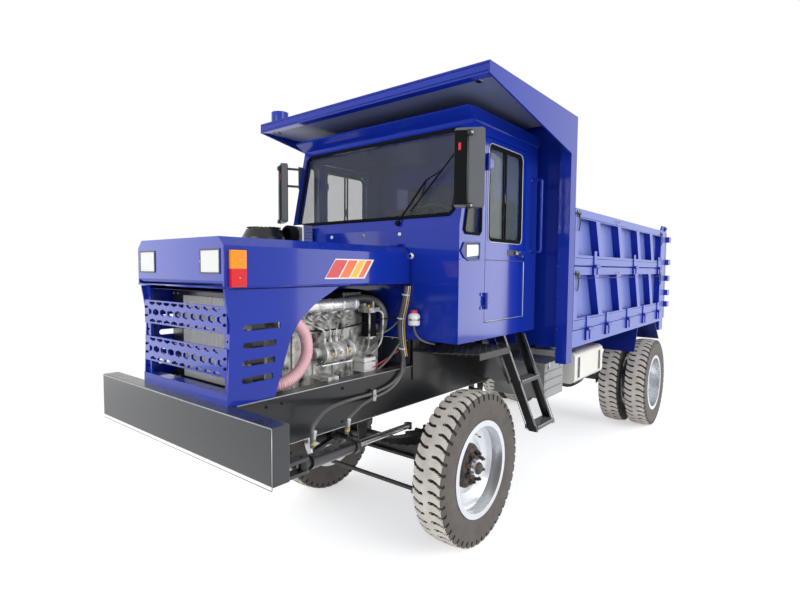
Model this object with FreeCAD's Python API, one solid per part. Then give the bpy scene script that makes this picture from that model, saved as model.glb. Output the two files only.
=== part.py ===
import FreeCAD, Part
import math
import os

# A two-axle bonneted dump truck of the small mining kind: ladder frame, diesel
# engine open at the sides under a narrow bonnet, box cab, and a tipping bed whose
# front wall carries a canopy over the cab.
#
# Millimetres. X points to the truck's left, Y to its rear and Z up. Inside this
# file every place is measured from the ground under the middle of the front axle.
# Each finished piece is then moved so that the origin is on the ground, below the
# middle of the whole truck's length.

Vec = FreeCAD.Vector

# ---- Clearances ------------------------------------------------------------
PIN_CLEARANCE = 0.3        # radial play of a pin in its hole
SEAT_GAP = 0.3             # between two bolted faces
PANEL_GAP = 5.0            # seam round a door, gate or lid
DOOR_LOCK_GAP = 8.0        # wider seam where a thick door's edge swings out
SWING_GAP = 6.0            # least room between a swinging piece and a fixed one

# ---- Wheels and axles ------------------------------------------------------
TYRE_RADIUS = 487.0
TYRE_BEAD_RADIUS = 285.0
TYRE_TREAD_HALF = 95.0
TYRE_SHOULDER_DROP = 9.0
TYRE_BULGE_HALF = 104.0
TYRE_BEAD_HALF = 84.0
RIM_FLANGE_RADIUS = 308.0
RIM_FLANGE = 13.0
RIM_WALL = 12.0
DISC_WALL = 12.0
DISC_DEPTH = 125.0         # from the tyre's middle plane in to the disc's flat
HUB_RADIUS = 112.0
WHEELBASE = 3545.0
FRONT_WHEEL_X = 671.0
DUAL_SPACING = 277.0
REAR_OUTER_X = 889.0
KING_PIN_X = 560.0
KING_PIN_RADIUS = 16.0
KING_EYE_RADIUS = 38.0
AXLE_BEAM_TOP = 535.0
AXLE_BEAM_BOTTOM = 435.0
AXLE_BEAM_HALF = 40.0
SPINDLE_RADIUS = 30.0
REAR_TUBE_RADIUS = 60.0
PINION_REACH = 270.0       # from the rear axle to the propeller shaft's flange

# ---- Ladder frame ----------------------------------------------------------
RAIL_OUTER_X = 400.0
RAIL_FLANGE = 80.0
RAIL_WALL = 8.0
RAIL_TOP = 1140.0
RAIL_DEPTH = 250.0
BUMPER_HALF = 772.0
BUMPER_FRONT_Y = -1639.0
BUMPER_BACK_Y = -1548.0
BUMPER_DEPTH = 234.0
CROSS_TUBE_RADIUS = 35.0
CROSS_TUBES_FRONT_Y = (-1300.0, 700.0, 1250.0)
CROSS_TUBES_FROM_AXLE = (-945.0, -245.0)   # measured from the rear axle
SPRING_WIDTH = 70.0
LEAF = 9.0
FRONT_SPRING_X = 322.0
FRONT_SPRING_HALF = 680.0
REAR_SPRING_X = 405.0
REAR_SPRING_HALF = 440.0
SPRING_EYE_Z = 800.0

# ---- Nose, bonnet, radiator and engine ------------------------------------
SHEET = 8.0
SILL_HEIGHT = 56.0
NOSE_HALF = 388.0
NOSE_FRONT_Y = -1580.0
NOSE_TOP = 1656.0
HOOD_HALF = 396.0
HOOD_FLAT_HALF = 354.0
HOOD_TOP = 1887.0
HOOD_SHOULDER_Z = 1847.0
HOOD_BOTTOM = NOSE_TOP + PANEL_GAP
HOOD_FRONT_Y = -1596.0
HOOD_BACK_Y = -290.0
HOOD_HINGE_Y = -302.0
HOOD_HINGE_Z = 1900.0
HOOD_HINGE_X = 280.0
LAMP_X = 290.0
LAMP_Z = 1778.0
LAMP_WIDTH = 155.0
LAMP_HEIGHT = 105.0
ENGINE_FRONT_Y = -1130.0
ENGINE_BACK_Y = -360.0
CRANK_Z = 1020.0
HEAD_HALF = 170.0
RADIATOR_FRONT_Y = -1430.0
RADIATOR_BACK_Y = -1365.0
RADIATOR_HALF = 360.0
CORE_HALF = 250.0
WATER_HOSE_RADIUS = 30.0
DUCT_Z = 1540.0
PLENUM_X = 252.0
PLENUM_Z = 1545.0
PUMP_X = 262.0
PUMP_Z = 1282.0
PUMP_Y = (-920.0, -700.0)
FILTER_X = 250.0
FILTER_Y = -503.0

# ---- Cab -------------------------------------------------------------------
CAB_HALF = 746.0
CAB_WALL = 40.0
CAB_FRONT_Y = -277.0
CAB_BACK_Y = 784.0
CAB_FLOOR_Z = 1310.0
CAB_BELT_Z = 1998.0
CAB_ROOF_Z = 2644.0
CAB_ROOF_FRONT_Y = -140.0
ROOF_THICKNESS = 70.0
ROOF_OVERHANG = 10.0
GLASS = 6.0
SCREEN_HALF = 693.0
SCREEN_LOW = 0.113
SCREEN_HIGH = 0.929
DOOR_FRONT_Y = 30.0
DOOR_BACK_Y = 577.0
DOOR_BOTTOM_Z = 1420.0
DOOR_TOP_Z = 2571.0
DOOR_HINGE_Z = (1554.0, 2414.0)
HINGE_PIN_RADIUS = 6.0
HINGE_BARREL_RADIUS = 11.0

# ---- Bed -------------------------------------------------------------------
BED_HALF = 982.0
BED_WALL = 60.0
BED_SKIN = 6.0
BED_FRONT_Y = 815.0
BED_POST_LENGTH = 107.0
BED_REAR_Y = WHEELBASE + 304.0
REAR_POST_LENGTH = 159.0
BED_SILL_Z = 1176.0
BED_FLOOR_Z = 1300.0
BED_TOP_Z = 2205.0
BED_SPLIT_Z = 1782.0
POST_FOOT_Z = 1070.0
CANOPY_FRONT_Y = -380.0
CANOPY_FASCIA = 66.0
CANOPY_ROOM = 69.0         # from the cab's roof up to the canopy's lower edge
CANOPY_TOP_Z = CAB_ROOF_Z + ROOF_THICKNESS + CANOPY_ROOM + CANOPY_FASCIA
CANOPY_GUSSET_Z = CANOPY_TOP_Z - 275.0
RIB_WIDTH = 100.0
RIB_LEAN = 0.39            # run to the rear for each unit of drop
TIP_PIVOT_Y = BED_REAR_Y - 49.0
TIP_PIVOT_Z = 1090.0
TIP_PIN_RADIUS = 30.0
GATE_HINGE_X = BED_HALF + 23.0
GATE_PIN_RADIUS = 8.0
GATE_BARREL_RADIUS = 14.0
TAILGATE_HINGE_Y = BED_REAR_Y + 36.0
TAILGATE_HINGE_Z = BED_TOP_Z + 35.0
TAILGATE_FRONT_Y = BED_REAR_Y + 9.0
TAILGATE_DEPTH = 60.0

# ---- Cylinders -------------------------------------------------------------
HOIST_FOOT_Y = 1900.0
HOIST_FOOT_Z = 930.0
HOIST_EYE_Y = 2900.0
HOIST_EYE_Z = 1200.0
HOIST_BARREL = 780.0
HOIST_RADIUS = 65.0
STEER_FOOT = Vec(720.0, -1440.0, 930.0)
STEER_EYE = Vec(365.0, -250.0, 745.0)
STEER_BARREL = 490.0
STEER_RADIUS = 32.0
STEER_ARM_GAP = 22.0
TIE_BALL = Vec(463.0, -300.0, 370.0)

# The whole truck runs from the bumper's face to the rear tyres.
TAILGATE_RIB = 45.0
TAILGATE_RIB_HALF = BED_HALF + 38.0
LENGTH_FRONT_Y = BUMPER_FRONT_Y
LENGTH_BACK_Y = WHEELBASE + TYRE_RADIUS
TO_ORIGIN = Vec(0, -(LENGTH_FRONT_Y + LENGTH_BACK_Y) / 2, 0)


# ---- Forms used everywhere --------------------------------------------------
def block(x0, x1, y0, y1, z0, z1):
    return Part.makeBox(x1 - x0, y1 - y0, z1 - z0, Vec(x0, y0, z0))


def closed_face(corners):
    return Part.Face(Part.makePolygon(corners + corners[:1]))


def side_plate(outline, x0, x1):
    """A flat plate seen from the side: outline is a list of (y, z)."""
    return closed_face([Vec(x0, y, z) for y, z in outline]).extrude(Vec(x1 - x0, 0, 0))


def cross_plate(outline, y0, y1):
    """A profile seen from the front: outline is a list of (x, z)."""
    return closed_face([Vec(x, y0, z) for x, z in outline]).extrude(Vec(0, y1 - y0, 0))


def level_plate(outline, z0, z1):
    """A profile seen from above: outline is a list of (x, y)."""
    return closed_face([Vec(x, y, z0) for x, y in outline]).extrude(Vec(0, 0, z1 - z0))


def rounded_face(corners, radius):
    """A flat face whose corners are all rounded with one radius."""
    turns = []
    for index, corner in enumerate(corners):
        following = corners[(index + 1) % len(corners)]
        back = (corners[index - 1] - corner).normalize()
        ahead = (following - corner).normalize()
        half = back.getAngle(ahead) / 2
        run = radius / math.tan(half)
        inward = (back + ahead).normalize()
        middle = corner + inward * (radius / math.sin(half) - radius)
        turns.append((corner + back * run, middle, corner + ahead * run))
    edges = []
    for index, turn in enumerate(turns):
        following = turns[(index + 1) % len(turns)]
        edges.append(Part.Arc(*turn).toShape())
        edges.append(Part.LineSegment(turn[2], following[0]).toShape())
    return Part.Face(Part.Wire(edges))


def rod(start, end, radius):
    along = end - start
    return Part.makeCylinder(radius, along.Length, start, along)


def x_rod(x0, x1, y, z, radius):
    return rod(Vec(x0, y, z), Vec(x1, y, z), radius)


def y_rod(y0, y1, x, z, radius):
    return rod(Vec(x, y0, z), Vec(x, y1, z), radius)


def z_rod(z0, z1, x, y, radius):
    return rod(Vec(x, y, z0), Vec(x, y, z1), radius)


def turned_about_x(profile, y, z):
    """A body of revolution about the X direction: profile is a list of (x, r)."""
    face = closed_face([Vec(x, 0, radius) for x, radius in profile])
    shape = face.revolve(Vec(0, 0, 0), Vec(1, 0, 0), 360)
    shape.translate(Vec(0, y, z))
    return shape


def mirrored(shape):
    return shape.mirror(Vec(0, 0, 0), Vec(1, 0, 0))


def both_sides(shape):
    return [shape, mirrored(shape)]


def fused(shapes):
    return shapes[0].multiFuse(shapes[1:]).removeSplitter()


def hose(points, radius):
    """A tube along straight runs joined by tangent arcs."""
    edges = []
    here = points[0]
    for before, corner, after in zip(points, points[1:], points[2:]):
        back = before - corner
        ahead = after - corner
        run = 0.45 * min(back.Length, ahead.Length)
        half = back.getAngle(ahead) / 2
        back.normalize()
        ahead.normalize()
        bend = run * math.tan(half)
        inward = (back + ahead).normalize()
        middle = corner + inward * (bend / math.sin(half) - bend)
        start = corner + back * run
        end = corner + ahead * run
        edges.append(Part.LineSegment(here, start).toShape())
        edges.append(Part.Arc(start, middle, end).toShape())
        here = end
    edges.append(Part.LineSegment(here, points[-1]).toShape())
    first = points[1] - points[0]
    ring = Part.Wire(Part.makeCircle(radius, points[0], first))
    return Part.Wire(edges).makePipeShell([ring], True, True)


def along_bed(from_front, from_rear):
    """Places along the bed, the first ones measured from its front and the rest from its rear."""
    return [BED_FRONT_Y + offset for offset in from_front] + [BED_REAR_Y - offset for offset in from_rear]


def save(name, shape):
    """Writes one piece, moved to the part's origin."""
    moved = shape.copy()
    moved.translate(TO_ORIGIN)
    moved.exportStep("parts/" + name + ".step")
    solids = moved.Solids
    box = moved.BoundBox
    print(f"{name:24s} solids {len(solids)} valid {moved.isValid()} "
          f"x {box.XMin:.0f}..{box.XMax:.0f} y {box.YMin:.0f}..{box.YMax:.0f} "
          f"z {box.ZMin:.0f}..{box.ZMax:.0f}")


# ---- Places that follow from the sizes above ------------------------------------------
RAIL_TAIL_Y = WHEELBASE + REAR_SPRING_HALF + 35
SPINDLE_BORE = SPINDLE_RADIUS + PIN_CLEARANCE
TYRE_BEAD_TOP = RIM_FLANGE_RADIUS + PIN_CLEARANCE
KNUCKLE_WEB_X = KING_PIN_X + KING_EYE_RADIUS + SWING_GAP + 20
FRONT_DISC_INSET = 10.0
PILLAR_FRONT_Y = -1562.0
GRILLE_SHEET = 12.0
HOLE_PITCH = 74.5          # between neighbouring six-sided holes
HOLE_WIDTH = 60.0
HOLE_HEIGHT = 36.0
HOLE_MARGIN = 8.0          # from a bar's edge to the half holes' flat sides
FRONT_SPINDLE_END = FRONT_WHEEL_X + 40
REAR_AXLE_HALF = 490.0
REAR_SPINDLE_END = REAR_OUTER_X - 40
HINGE_STAND = 14.0
STEER_EYE_HEIGHT = 36.0
STEER_PIN_RADIUS = 11.0
STEER_ROD_RADIUS = 18.0
STEER_ROD_START = 265.0
EAR_PLATE = 14.0
TIE_STUD_RADIUS = 10.0
TIE_TUBE_RADIUS = 14.0
TIE_SOCKET_RADIUS = 24.0
TIE_ARM_BOTTOM = AXLE_BEAM_BOTTOM - PANEL_GAP - 35
HOIST_ROD_RADIUS = 35.0
HOIST_ROD_START = 80.0
HOIST_EYE_HALF = 40.0
EAR_X = RAIL_OUTER_X + 25
EAR_WALL = 30.0
TAIL_EAR_X = BED_HALF - 37.0
TANK_OUTER_X = 860.0
TANK_FRONT_Y = 1340.0
TANK_BACK_Y = 2050.0
TANK_BOTTOM = 815.0
TANK_TOP = 1075.0
TANK_BRACKET_Y = (TANK_FRONT_Y + 110, TANK_BACK_Y - 110)
BOX_OUTER_X = 820.0
BOX_FRONT_Y = 830.0
BOX_BACK_Y = 1200.0
BOX_BOTTOM = 780.0
SEAT_HEIGHT = 330.0         # from the cab's floor to the cushion's top
BOX_TOP = 1050.0
FENDER_OUTER_X = 800.0
LADDER_TOP_X = 715.0
LADDER_TOP_Y = 300.0
LADDER_FOOT_X = 870.0
LADDER_FOOT_Y = 520.0
LADDER_FOOT_Z = 625.0
LADDER_PITCH = 300.0
LADDER_CHANNEL = 30.0
AIR_CLEANER_X = -656.0
AIR_CLEANER_Y = -600.0
MIRROR = Vec(820.0, -300.0, 2318.0)
MIRROR_ROOT_Y = -180.0
PIPE_X = BED_HALF - 121.0
PIPE_Y = -290.0
PIPE_TOP_Z = CANOPY_TOP_Z + 84.0
BED_CROSS_Y = along_bed((335, 835, 1335), (699, 289))
RIB_TOPS_Y = along_bed((570, 1157), (1258, 731))
LOWER_HINGE_Y = along_bed((420, 912), (1493, 903, 291))
UPPER_HINGE_Y = along_bed((556,), (1320, 323))
CROSS_TUBES_Y = CROSS_TUBES_FRONT_Y + tuple(WHEELBASE + offset for offset in CROSS_TUBES_FROM_AXLE)
BRACKET_LEG = 10.0
MUDGUARD_EDGES = (((2767.0, BED_SILL_Z), (2662.0, 939.0)), ((3485.0, BED_SILL_Z), (3703.0, 969.0)))
TAILGATE_RIBS_Z = (1365.0, 1499.0, 1665.0, 1850.0, 2111.0)
GRILLE_BARS_Z = ((1264.0, 1393.0), (1460.0, 1581.0))
LOUVRES = ((1481.0, -1494.0, -1288.0), (1400.0, -1498.0, -1314.0), (1320.0, -1502.0, -1322.0),
           (1243.0, -1506.0, -1336.0))
steer_along = (STEER_EYE - STEER_FOOT).normalize()
STEER_PORT_1 = STEER_FOOT + steer_along * 75 + Vec(0, 0, STEER_RADIUS + 26)
STEER_PORT_2 = STEER_FOOT + steer_along * 400 + Vec(0, 0, STEER_RADIUS + 40)


# ---- Frame ------------------------------------------------------------------
def rail():
    """One C-section side rail, its end rounded about the tipping pin."""
    inner = RAIL_OUTER_X - RAIL_FLANGE
    web = RAIL_OUTER_X - RAIL_WALL
    bottom = RAIL_TOP - RAIL_DEPTH
    section = [(inner, bottom), (RAIL_OUTER_X, bottom), (RAIL_OUTER_X, RAIL_TOP),
               (inner, RAIL_TOP), (inner, RAIL_TOP - RAIL_WALL), (web, RAIL_TOP - RAIL_WALL),
               (web, bottom + RAIL_WALL), (inner, bottom + RAIL_WALL)]
    length = cross_plate(section, BUMPER_BACK_Y, RAIL_TAIL_Y)
    straight = block(inner, RAIL_OUTER_X, BUMPER_BACK_Y, TIP_PIVOT_Y, bottom, RAIL_TOP)
    nose = x_rod(inner, RAIL_OUTER_X, TIP_PIVOT_Y, TIP_PIVOT_Z, RAIL_TOP - TIP_PIVOT_Z)
    tail = side_plate([(TIP_PIVOT_Y, bottom), (RAIL_TAIL_Y, bottom), (RAIL_TAIL_Y, bottom + 70),
                       (TIP_PIVOT_Y + 50, bottom + 95), (TIP_PIVOT_Y + 50, TIP_PIVOT_Z),
                       (TIP_PIVOT_Y, TIP_PIVOT_Z)], inner, RAIL_OUTER_X)
    return length.common(fused([straight, nose, tail]))


def spring_hanger(x, y):
    """Two cheeks under a rail that hold one spring eye between them."""
    half = SPRING_WIDTH / 2
    top = RAIL_TOP - RAIL_DEPTH - SEAT_GAP
    cheek = [(y - 45, top), (y + 45, top), (y + 30, SPRING_EYE_Z - 32), (y - 30, SPRING_EYE_Z - 32)]
    inner = side_plate(cheek, x - half - RAIL_WALL, x - half)
    outer = side_plate(cheek, x + half, x + half + RAIL_WALL)
    low_x = min(x - half - RAIL_WALL, RAIL_OUTER_X - RAIL_FLANGE)
    high_x = max(x + half + RAIL_WALL, RAIL_OUTER_X)
    cap = block(low_x, high_x, y - 45, y + 45, top - 10, top)
    return fused([inner, outer, cap])


def spring_hangers():
    hangers = []
    for end in (-1, 1):
        hangers += both_sides(spring_hanger(FRONT_SPRING_X, end * FRONT_SPRING_HALF))
        hangers += both_sides(spring_hanger(REAR_SPRING_X, WHEELBASE + end * REAR_SPRING_HALF))
    return Part.makeCompound(hangers)


def cab_mount(y):
    """A bracket on the rail with a rubber cone that carries one corner of the cab."""
    x = RAIL_OUTER_X - RAIL_FLANGE / 2
    foot = RAIL_TOP + SEAT_GAP
    return fused([block(x - 30, x + 30, y - 50, y + 50, foot, foot + 60),
                  z_rod(foot + 60, CAB_FLOOR_Z - SEAT_GAP, x, y, 40)])


def cab_mounts():
    mounts = []
    for y in (CAB_FRONT_Y + 90, CAB_BACK_Y - 90):
        mounts += both_sides(cab_mount(y))
    return Part.makeCompound(mounts)


def tank_bracket(y):
    """An angle that carries the side tank off the rail."""
    web = RAIL_OUTER_X + SEAT_GAP
    shelf = TANK_BOTTOM - SEAT_GAP
    return fused([block(web, TANK_OUTER_X - 30, y - 25, y + 25, shelf - 10, shelf),
                  block(web, web + BRACKET_LEG, y - 25, y + 25, shelf - 10, RAIL_TOP - 40)])


def tank_brackets():
    brackets = []
    for y in TANK_BRACKET_Y:
        brackets += both_sides(tank_bracket(y))
    return Part.makeCompound(brackets)


def chassis_frame():
    """Both side rails with the tubes and pins that tie them together."""
    web = RAIL_OUTER_X - RAIL_WALL / 2
    middle_z = RAIL_TOP - RAIL_DEPTH / 2
    tubes = [x_rod(-web, web, y, middle_z, CROSS_TUBE_RADIUS) for y in CROSS_TUBES_Y]
    tubes.append(x_rod(-web, web, HOIST_FOOT_Y, HOIST_FOOT_Z, TIP_PIN_RADIUS))
    pin_half = EAR_X + EAR_WALL + 12
    tubes.append(x_rod(-pin_half, pin_half, TIP_PIVOT_Y, TIP_PIVOT_Z, TIP_PIN_RADIUS))
    return fused(both_sides(rail()) + tubes)


def front_bumper():
    """A folded box beam across the nose, with a clevis for the steering cylinder."""
    top = RAIL_TOP
    beam = block(-BUMPER_HALF, BUMPER_HALF, BUMPER_FRONT_Y, BUMPER_BACK_Y, top - BUMPER_DEPTH, top)
    beam = beam.makeFillet(8, [edge for edge in beam.Edges if abs(edge.BoundBox.YLength) < 1])
    foot = STEER_FOOT
    half = STEER_EYE_HEIGHT / 2
    ears = []
    for low in (foot.z - half - 2 - EAR_PLATE, foot.z + half + 2):
        plate = block(foot.x - 26, foot.x + 26, BUMPER_BACK_Y, foot.y, low, low + EAR_PLATE)
        tip = z_rod(low, low + EAR_PLATE, foot.x, foot.y, 26)
        ears += [plate, tip]
    pin = z_rod(foot.z - half - 20, foot.z + half + 20, foot.x, foot.y, STEER_PIN_RADIUS)
    return fused([beam] + ears + [pin])


# ---- Axles ------------------------------------------------------------------
def leaf_pack(x, centre_y, half_length, pack_bottom, leaves):
    """A pack of leaves bent to one centre, each shorter than the one above."""
    top_z = pack_bottom + leaves * LEAF
    rise = SPRING_EYE_Z - top_z
    bend = (half_length ** 2 + rise ** 2) / (2 * rise)
    centre_z = top_z + bend
    half = SPRING_WIDTH / 2
    shapes = []
    for index in range(leaves):
        reach = half_length * (1 - 0.85 * index / leaves)
        outer = x_rod(x - half, x + half, centre_y, centre_z, bend + LEAF * (index + 1))
        inner = x_rod(x - half, x + half, centre_y, centre_z, bend + LEAF * index)
        window = block(x - half, x + half, centre_y - reach, centre_y + reach,
                       pack_bottom - 20, SPRING_EYE_Z + 30)
        shapes.append(outer.cut(inner).common(window))
    for end in (-1, 1):
        shapes.append(x_rod(x - half, x + half, centre_y + end * half_length, SPRING_EYE_Z, 22))
    return fused(shapes)


def u_bolts(x, centre_y, low_z, high_z):
    half = SPRING_WIDTH / 2 + 9
    shapes = []
    for y in (centre_y - 48, centre_y + 48):
        shapes.append(z_rod(low_z, high_z, x - half, y, 8))
        shapes.append(z_rod(low_z, high_z, x + half, y, 8))
        shapes.append(x_rod(x - half, x + half, y, high_z, 8))
    return shapes


def front_axle():
    """A forged I-beam between two king-pin eyes, with its springs clamped on."""
    low = AXLE_BEAM_BOTTOM
    high = AXLE_BEAM_TOP
    wide = AXLE_BEAM_HALF
    section = [(-wide, low), (wide, low), (wide, low + 18), (9, low + 26), (9, high - 26), (wide, high - 18),
               (wide, high), (-wide, high), (-wide, high - 18), (-9, high - 26), (-9, low + 26),
               (-wide, low + 18)]
    beam = side_plate(section, -KING_PIN_X, KING_PIN_X)
    shapes = [beam]
    for x in (-KING_PIN_X, KING_PIN_X):
        shapes.append(z_rod(low - 5, high + 5, x, 0, KING_EYE_RADIUS))
    pad = block(FRONT_SPRING_X - 45, FRONT_SPRING_X + 45, -60, 60, low, high + 55)
    pack = leaf_pack(FRONT_SPRING_X, 0, FRONT_SPRING_HALF, high + 50, 7)
    bolts = u_bolts(FRONT_SPRING_X, 0, low - 40, high + 125)
    clamp = block(FRONT_SPRING_X - 50, FRONT_SPRING_X + 50, -60, 60, low - 14, low)
    for shape in [pad, pack, clamp] + bolts:
        shapes += both_sides(shape)
    solid = fused(shapes)
    for x in (-KING_PIN_X, KING_PIN_X):
        solid = solid.cut(z_rod(low - 50, high + 50, x, 0, KING_PIN_RADIUS + PIN_CLEARANCE))
    return solid


def rear_axle():
    """A banjo casing with its pinion nose, springs on top and a spindle each end."""
    z = TYRE_RADIUS
    shapes = [x_rod(-REAR_AXLE_HALF, REAR_AXLE_HALF, WHEELBASE, z, REAR_TUBE_RADIUS),
              x_rod(-REAR_SPINDLE_END, REAR_SPINDLE_END, WHEELBASE, z, SPINDLE_RADIUS),
              y_rod(WHEELBASE - 80, WHEELBASE + 80, 0, z, 190),
              Part.makeCone(150, 105, 60, Vec(0, WHEELBASE + 80, z), Vec(0, 1, 0)),
              Part.makeCone(120, 62, PINION_REACH - 80, Vec(0, WHEELBASE - 80, z), Vec(0, -1, 0))]
    top = z + REAR_TUBE_RADIUS
    pad = block(REAR_SPRING_X - 45, REAR_SPRING_X + 45, WHEELBASE - 60, WHEELBASE + 60, z, top + 18)
    pack = leaf_pack(REAR_SPRING_X, WHEELBASE, REAR_SPRING_HALF, top + 12, 9)
    bolts = u_bolts(REAR_SPRING_X, WHEELBASE, z - REAR_TUBE_RADIUS - 30, top + 110)
    clamp = block(REAR_SPRING_X - 50, REAR_SPRING_X + 50, WHEELBASE - 60, WHEELBASE + 60,
                  z - REAR_TUBE_RADIUS - 14, z - REAR_TUBE_RADIUS + 4)
    for shape in [pad, pack, clamp] + bolts:
        shapes += both_sides(shape)
    return fused(shapes)


def knuckle():
    """The left stub axle: a fork on the king pin, a spindle and the tie-rod arm."""
    low = AXLE_BEAM_BOTTOM - 5
    high = AXLE_BEAM_TOP + 5
    x = KING_PIN_X
    lug = 30
    gap = PANEL_GAP
    top_lug = fused([z_rod(high + gap, high + gap + lug, x, 0, KING_EYE_RADIUS),
                     block(x, KNUCKLE_WEB_X, -KING_EYE_RADIUS, KING_EYE_RADIUS, high + gap, high + gap + lug)])
    low_lug = fused([z_rod(low - gap - lug, low - gap, x, 0, KING_EYE_RADIUS),
                     block(x, KNUCKLE_WEB_X, -KING_EYE_RADIUS, KING_EYE_RADIUS, low - gap - lug, low - gap)])
    web = block(x + KING_EYE_RADIUS + SWING_GAP, KNUCKLE_WEB_X, -KING_EYE_RADIUS, KING_EYE_RADIUS,
                low - gap - lug, high + gap + lug)
    pin = z_rod(low - gap - lug, high + gap + lug, x, 0, KING_PIN_RADIUS)
    spindle = x_rod(KNUCKLE_WEB_X - 5, FRONT_SPINDLE_END, 0, TYRE_RADIUS, SPINDLE_RADIUS)
    backing = x_rod(KNUCKLE_WEB_X - 12, KNUCKLE_WEB_X, 0, TYRE_RADIUS, 150)
    arm_top = low - gap
    tie_arm = level_plate([(x + 20, -20), (x - 25, -20), (TIE_BALL.x - 22, TIE_BALL.y),
                           (TIE_BALL.x, TIE_BALL.y - 22), (TIE_BALL.x + 22, TIE_BALL.y)],
                          TIE_ARM_BOTTOM, arm_top - 8)
    return fused([top_lug, low_lug, web, pin, spindle, backing, tie_arm])


def steering_arm():
    """The arm over the spring that the steering cylinder pushes."""
    base_z = AXLE_BEAM_TOP + 5 + PANEL_GAP + 30
    top_z = STEER_EYE.z - STEER_EYE_HEIGHT / 2 - STEER_ARM_GAP
    post_x = KING_PIN_X - 45
    foot = block(post_x - 18, KING_PIN_X + 10, -30, 20, base_z, base_z + 18)
    post = block(post_x - 18, post_x + 12, -30, 20, base_z, top_z)
    arm = level_plate([(post_x + 12, 20), (post_x - 18, 20), (STEER_EYE.x - 22, STEER_EYE.y),
                       (STEER_EYE.x, STEER_EYE.y - 24), (STEER_EYE.x + 24, STEER_EYE.y), (post_x + 12, -30)],
                      top_z - 20, top_z)
    return fused([foot, post, arm])


def tie_rod():
    """A tube ahead of the axle with a ball joint at each end, its stud under the arm."""
    shapes = [x_rod(-TIE_BALL.x, TIE_BALL.x, TIE_BALL.y, TIE_BALL.z, TIE_TUBE_RADIUS)]
    for x in (-TIE_BALL.x, TIE_BALL.x):
        shapes.append(z_rod(TIE_BALL.z - 20, TIE_BALL.z + 10, x, TIE_BALL.y, TIE_SOCKET_RADIUS))
        shapes.append(z_rod(TIE_BALL.z, TIE_ARM_BOTTOM - SEAT_GAP, x, TIE_BALL.y, TIE_STUD_RADIUS))
    return fused(shapes)


# ---- Cylinders ----------------------------------------------------------------
def cylinder_barrel(foot, eye, length, radius, foot_end, bore, rod_radius):
    """A hydraulic barrel from its foot's pin towards the rod's eye."""
    along = (eye - foot).normalize()
    body = rod(foot + along * foot_end, foot + along * length, radius)
    gland = rod(foot + along * (length - 45), foot + along * (length - 5), radius + 7)
    neck = rod(foot, foot + along * (foot_end + 5), radius * 0.7)
    solid = fused([body, gland, neck])
    solid = solid.cut(rod(foot + along * (foot_end + 15), foot + along * (length - 20), bore))
    return solid.cut(rod(foot + along * (length - 60), foot + along * (length + 5), rod_radius + PIN_CLEARANCE))


def cylinder_rod(foot, eye, engaged_from, radius, piston):
    """The bright rod with its piston, from inside the barrel to the eye."""
    along = (eye - foot).normalize()
    shaft = rod(foot + along * engaged_from, eye, radius)
    head = rod(foot + along * engaged_from, foot + along * (engaged_from + 30), piston)
    return fused([shaft, head])


def steering_barrel():
    foot = STEER_FOOT
    half = STEER_EYE_HEIGHT / 2
    solid = cylinder_barrel(foot, STEER_EYE, STEER_BARREL, STEER_RADIUS, 40, STEER_RADIUS - 7, STEER_ROD_RADIUS)
    eye = z_rod(foot.z - half, foot.z + half, foot.x, foot.y, 24)
    solid = solid.common(block(0, 2000, -4000, 4000, foot.z - 400, foot.z + 400))
    clear = fused([z_rod(foot.z + half, foot.z + half + 80, foot.x, foot.y, 34),
                   z_rod(foot.z - half - 80, foot.z - half, foot.x, foot.y, 34)])
    solid = fused([solid.cut(clear), eye])
    return solid.cut(z_rod(foot.z - 80, foot.z + 80, foot.x, foot.y, STEER_PIN_RADIUS + PIN_CLEARANCE))


def steering_rod():
    solid = cylinder_rod(STEER_FOOT, STEER_EYE, STEER_ROD_START, STEER_ROD_RADIUS, STEER_RADIUS - 7 - PIN_CLEARANCE)
    half = STEER_EYE_HEIGHT / 2
    eye = z_rod(STEER_EYE.z - half, STEER_EYE.z + half, STEER_EYE.x, STEER_EYE.y, 26)
    solid = fused([solid, eye])
    return solid.cut(z_rod(STEER_EYE.z - 60, STEER_EYE.z + 60, STEER_EYE.x, STEER_EYE.y, 11))


def hoist_barrel():
    foot = Vec(0, HOIST_FOOT_Y, HOIST_FOOT_Z)
    eye = Vec(0, HOIST_EYE_Y, HOIST_EYE_Z)
    solid = cylinder_barrel(foot, eye, HOIST_BARREL, HOIST_RADIUS, 60, HOIST_RADIUS - 10, HOIST_ROD_RADIUS)
    solid = fused([solid, x_rod(-55, 55, HOIST_FOOT_Y, HOIST_FOOT_Z, 52)])
    return solid.cut(x_rod(-80, 80, HOIST_FOOT_Y, HOIST_FOOT_Z, TIP_PIN_RADIUS + PIN_CLEARANCE))


def hoist_rod():
    foot = Vec(0, HOIST_FOOT_Y, HOIST_FOOT_Z)
    eye = Vec(0, HOIST_EYE_Y, HOIST_EYE_Z)
    solid = cylinder_rod(foot, eye, HOIST_ROD_START, HOIST_ROD_RADIUS, HOIST_RADIUS - 10 - PIN_CLEARANCE)
    solid = fused([solid, x_rod(-HOIST_EYE_HALF, HOIST_EYE_HALF, HOIST_EYE_Y, HOIST_EYE_Z, 45)])
    return solid.cut(x_rod(-80, 80, HOIST_EYE_Y, HOIST_EYE_Z, 22))


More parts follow.
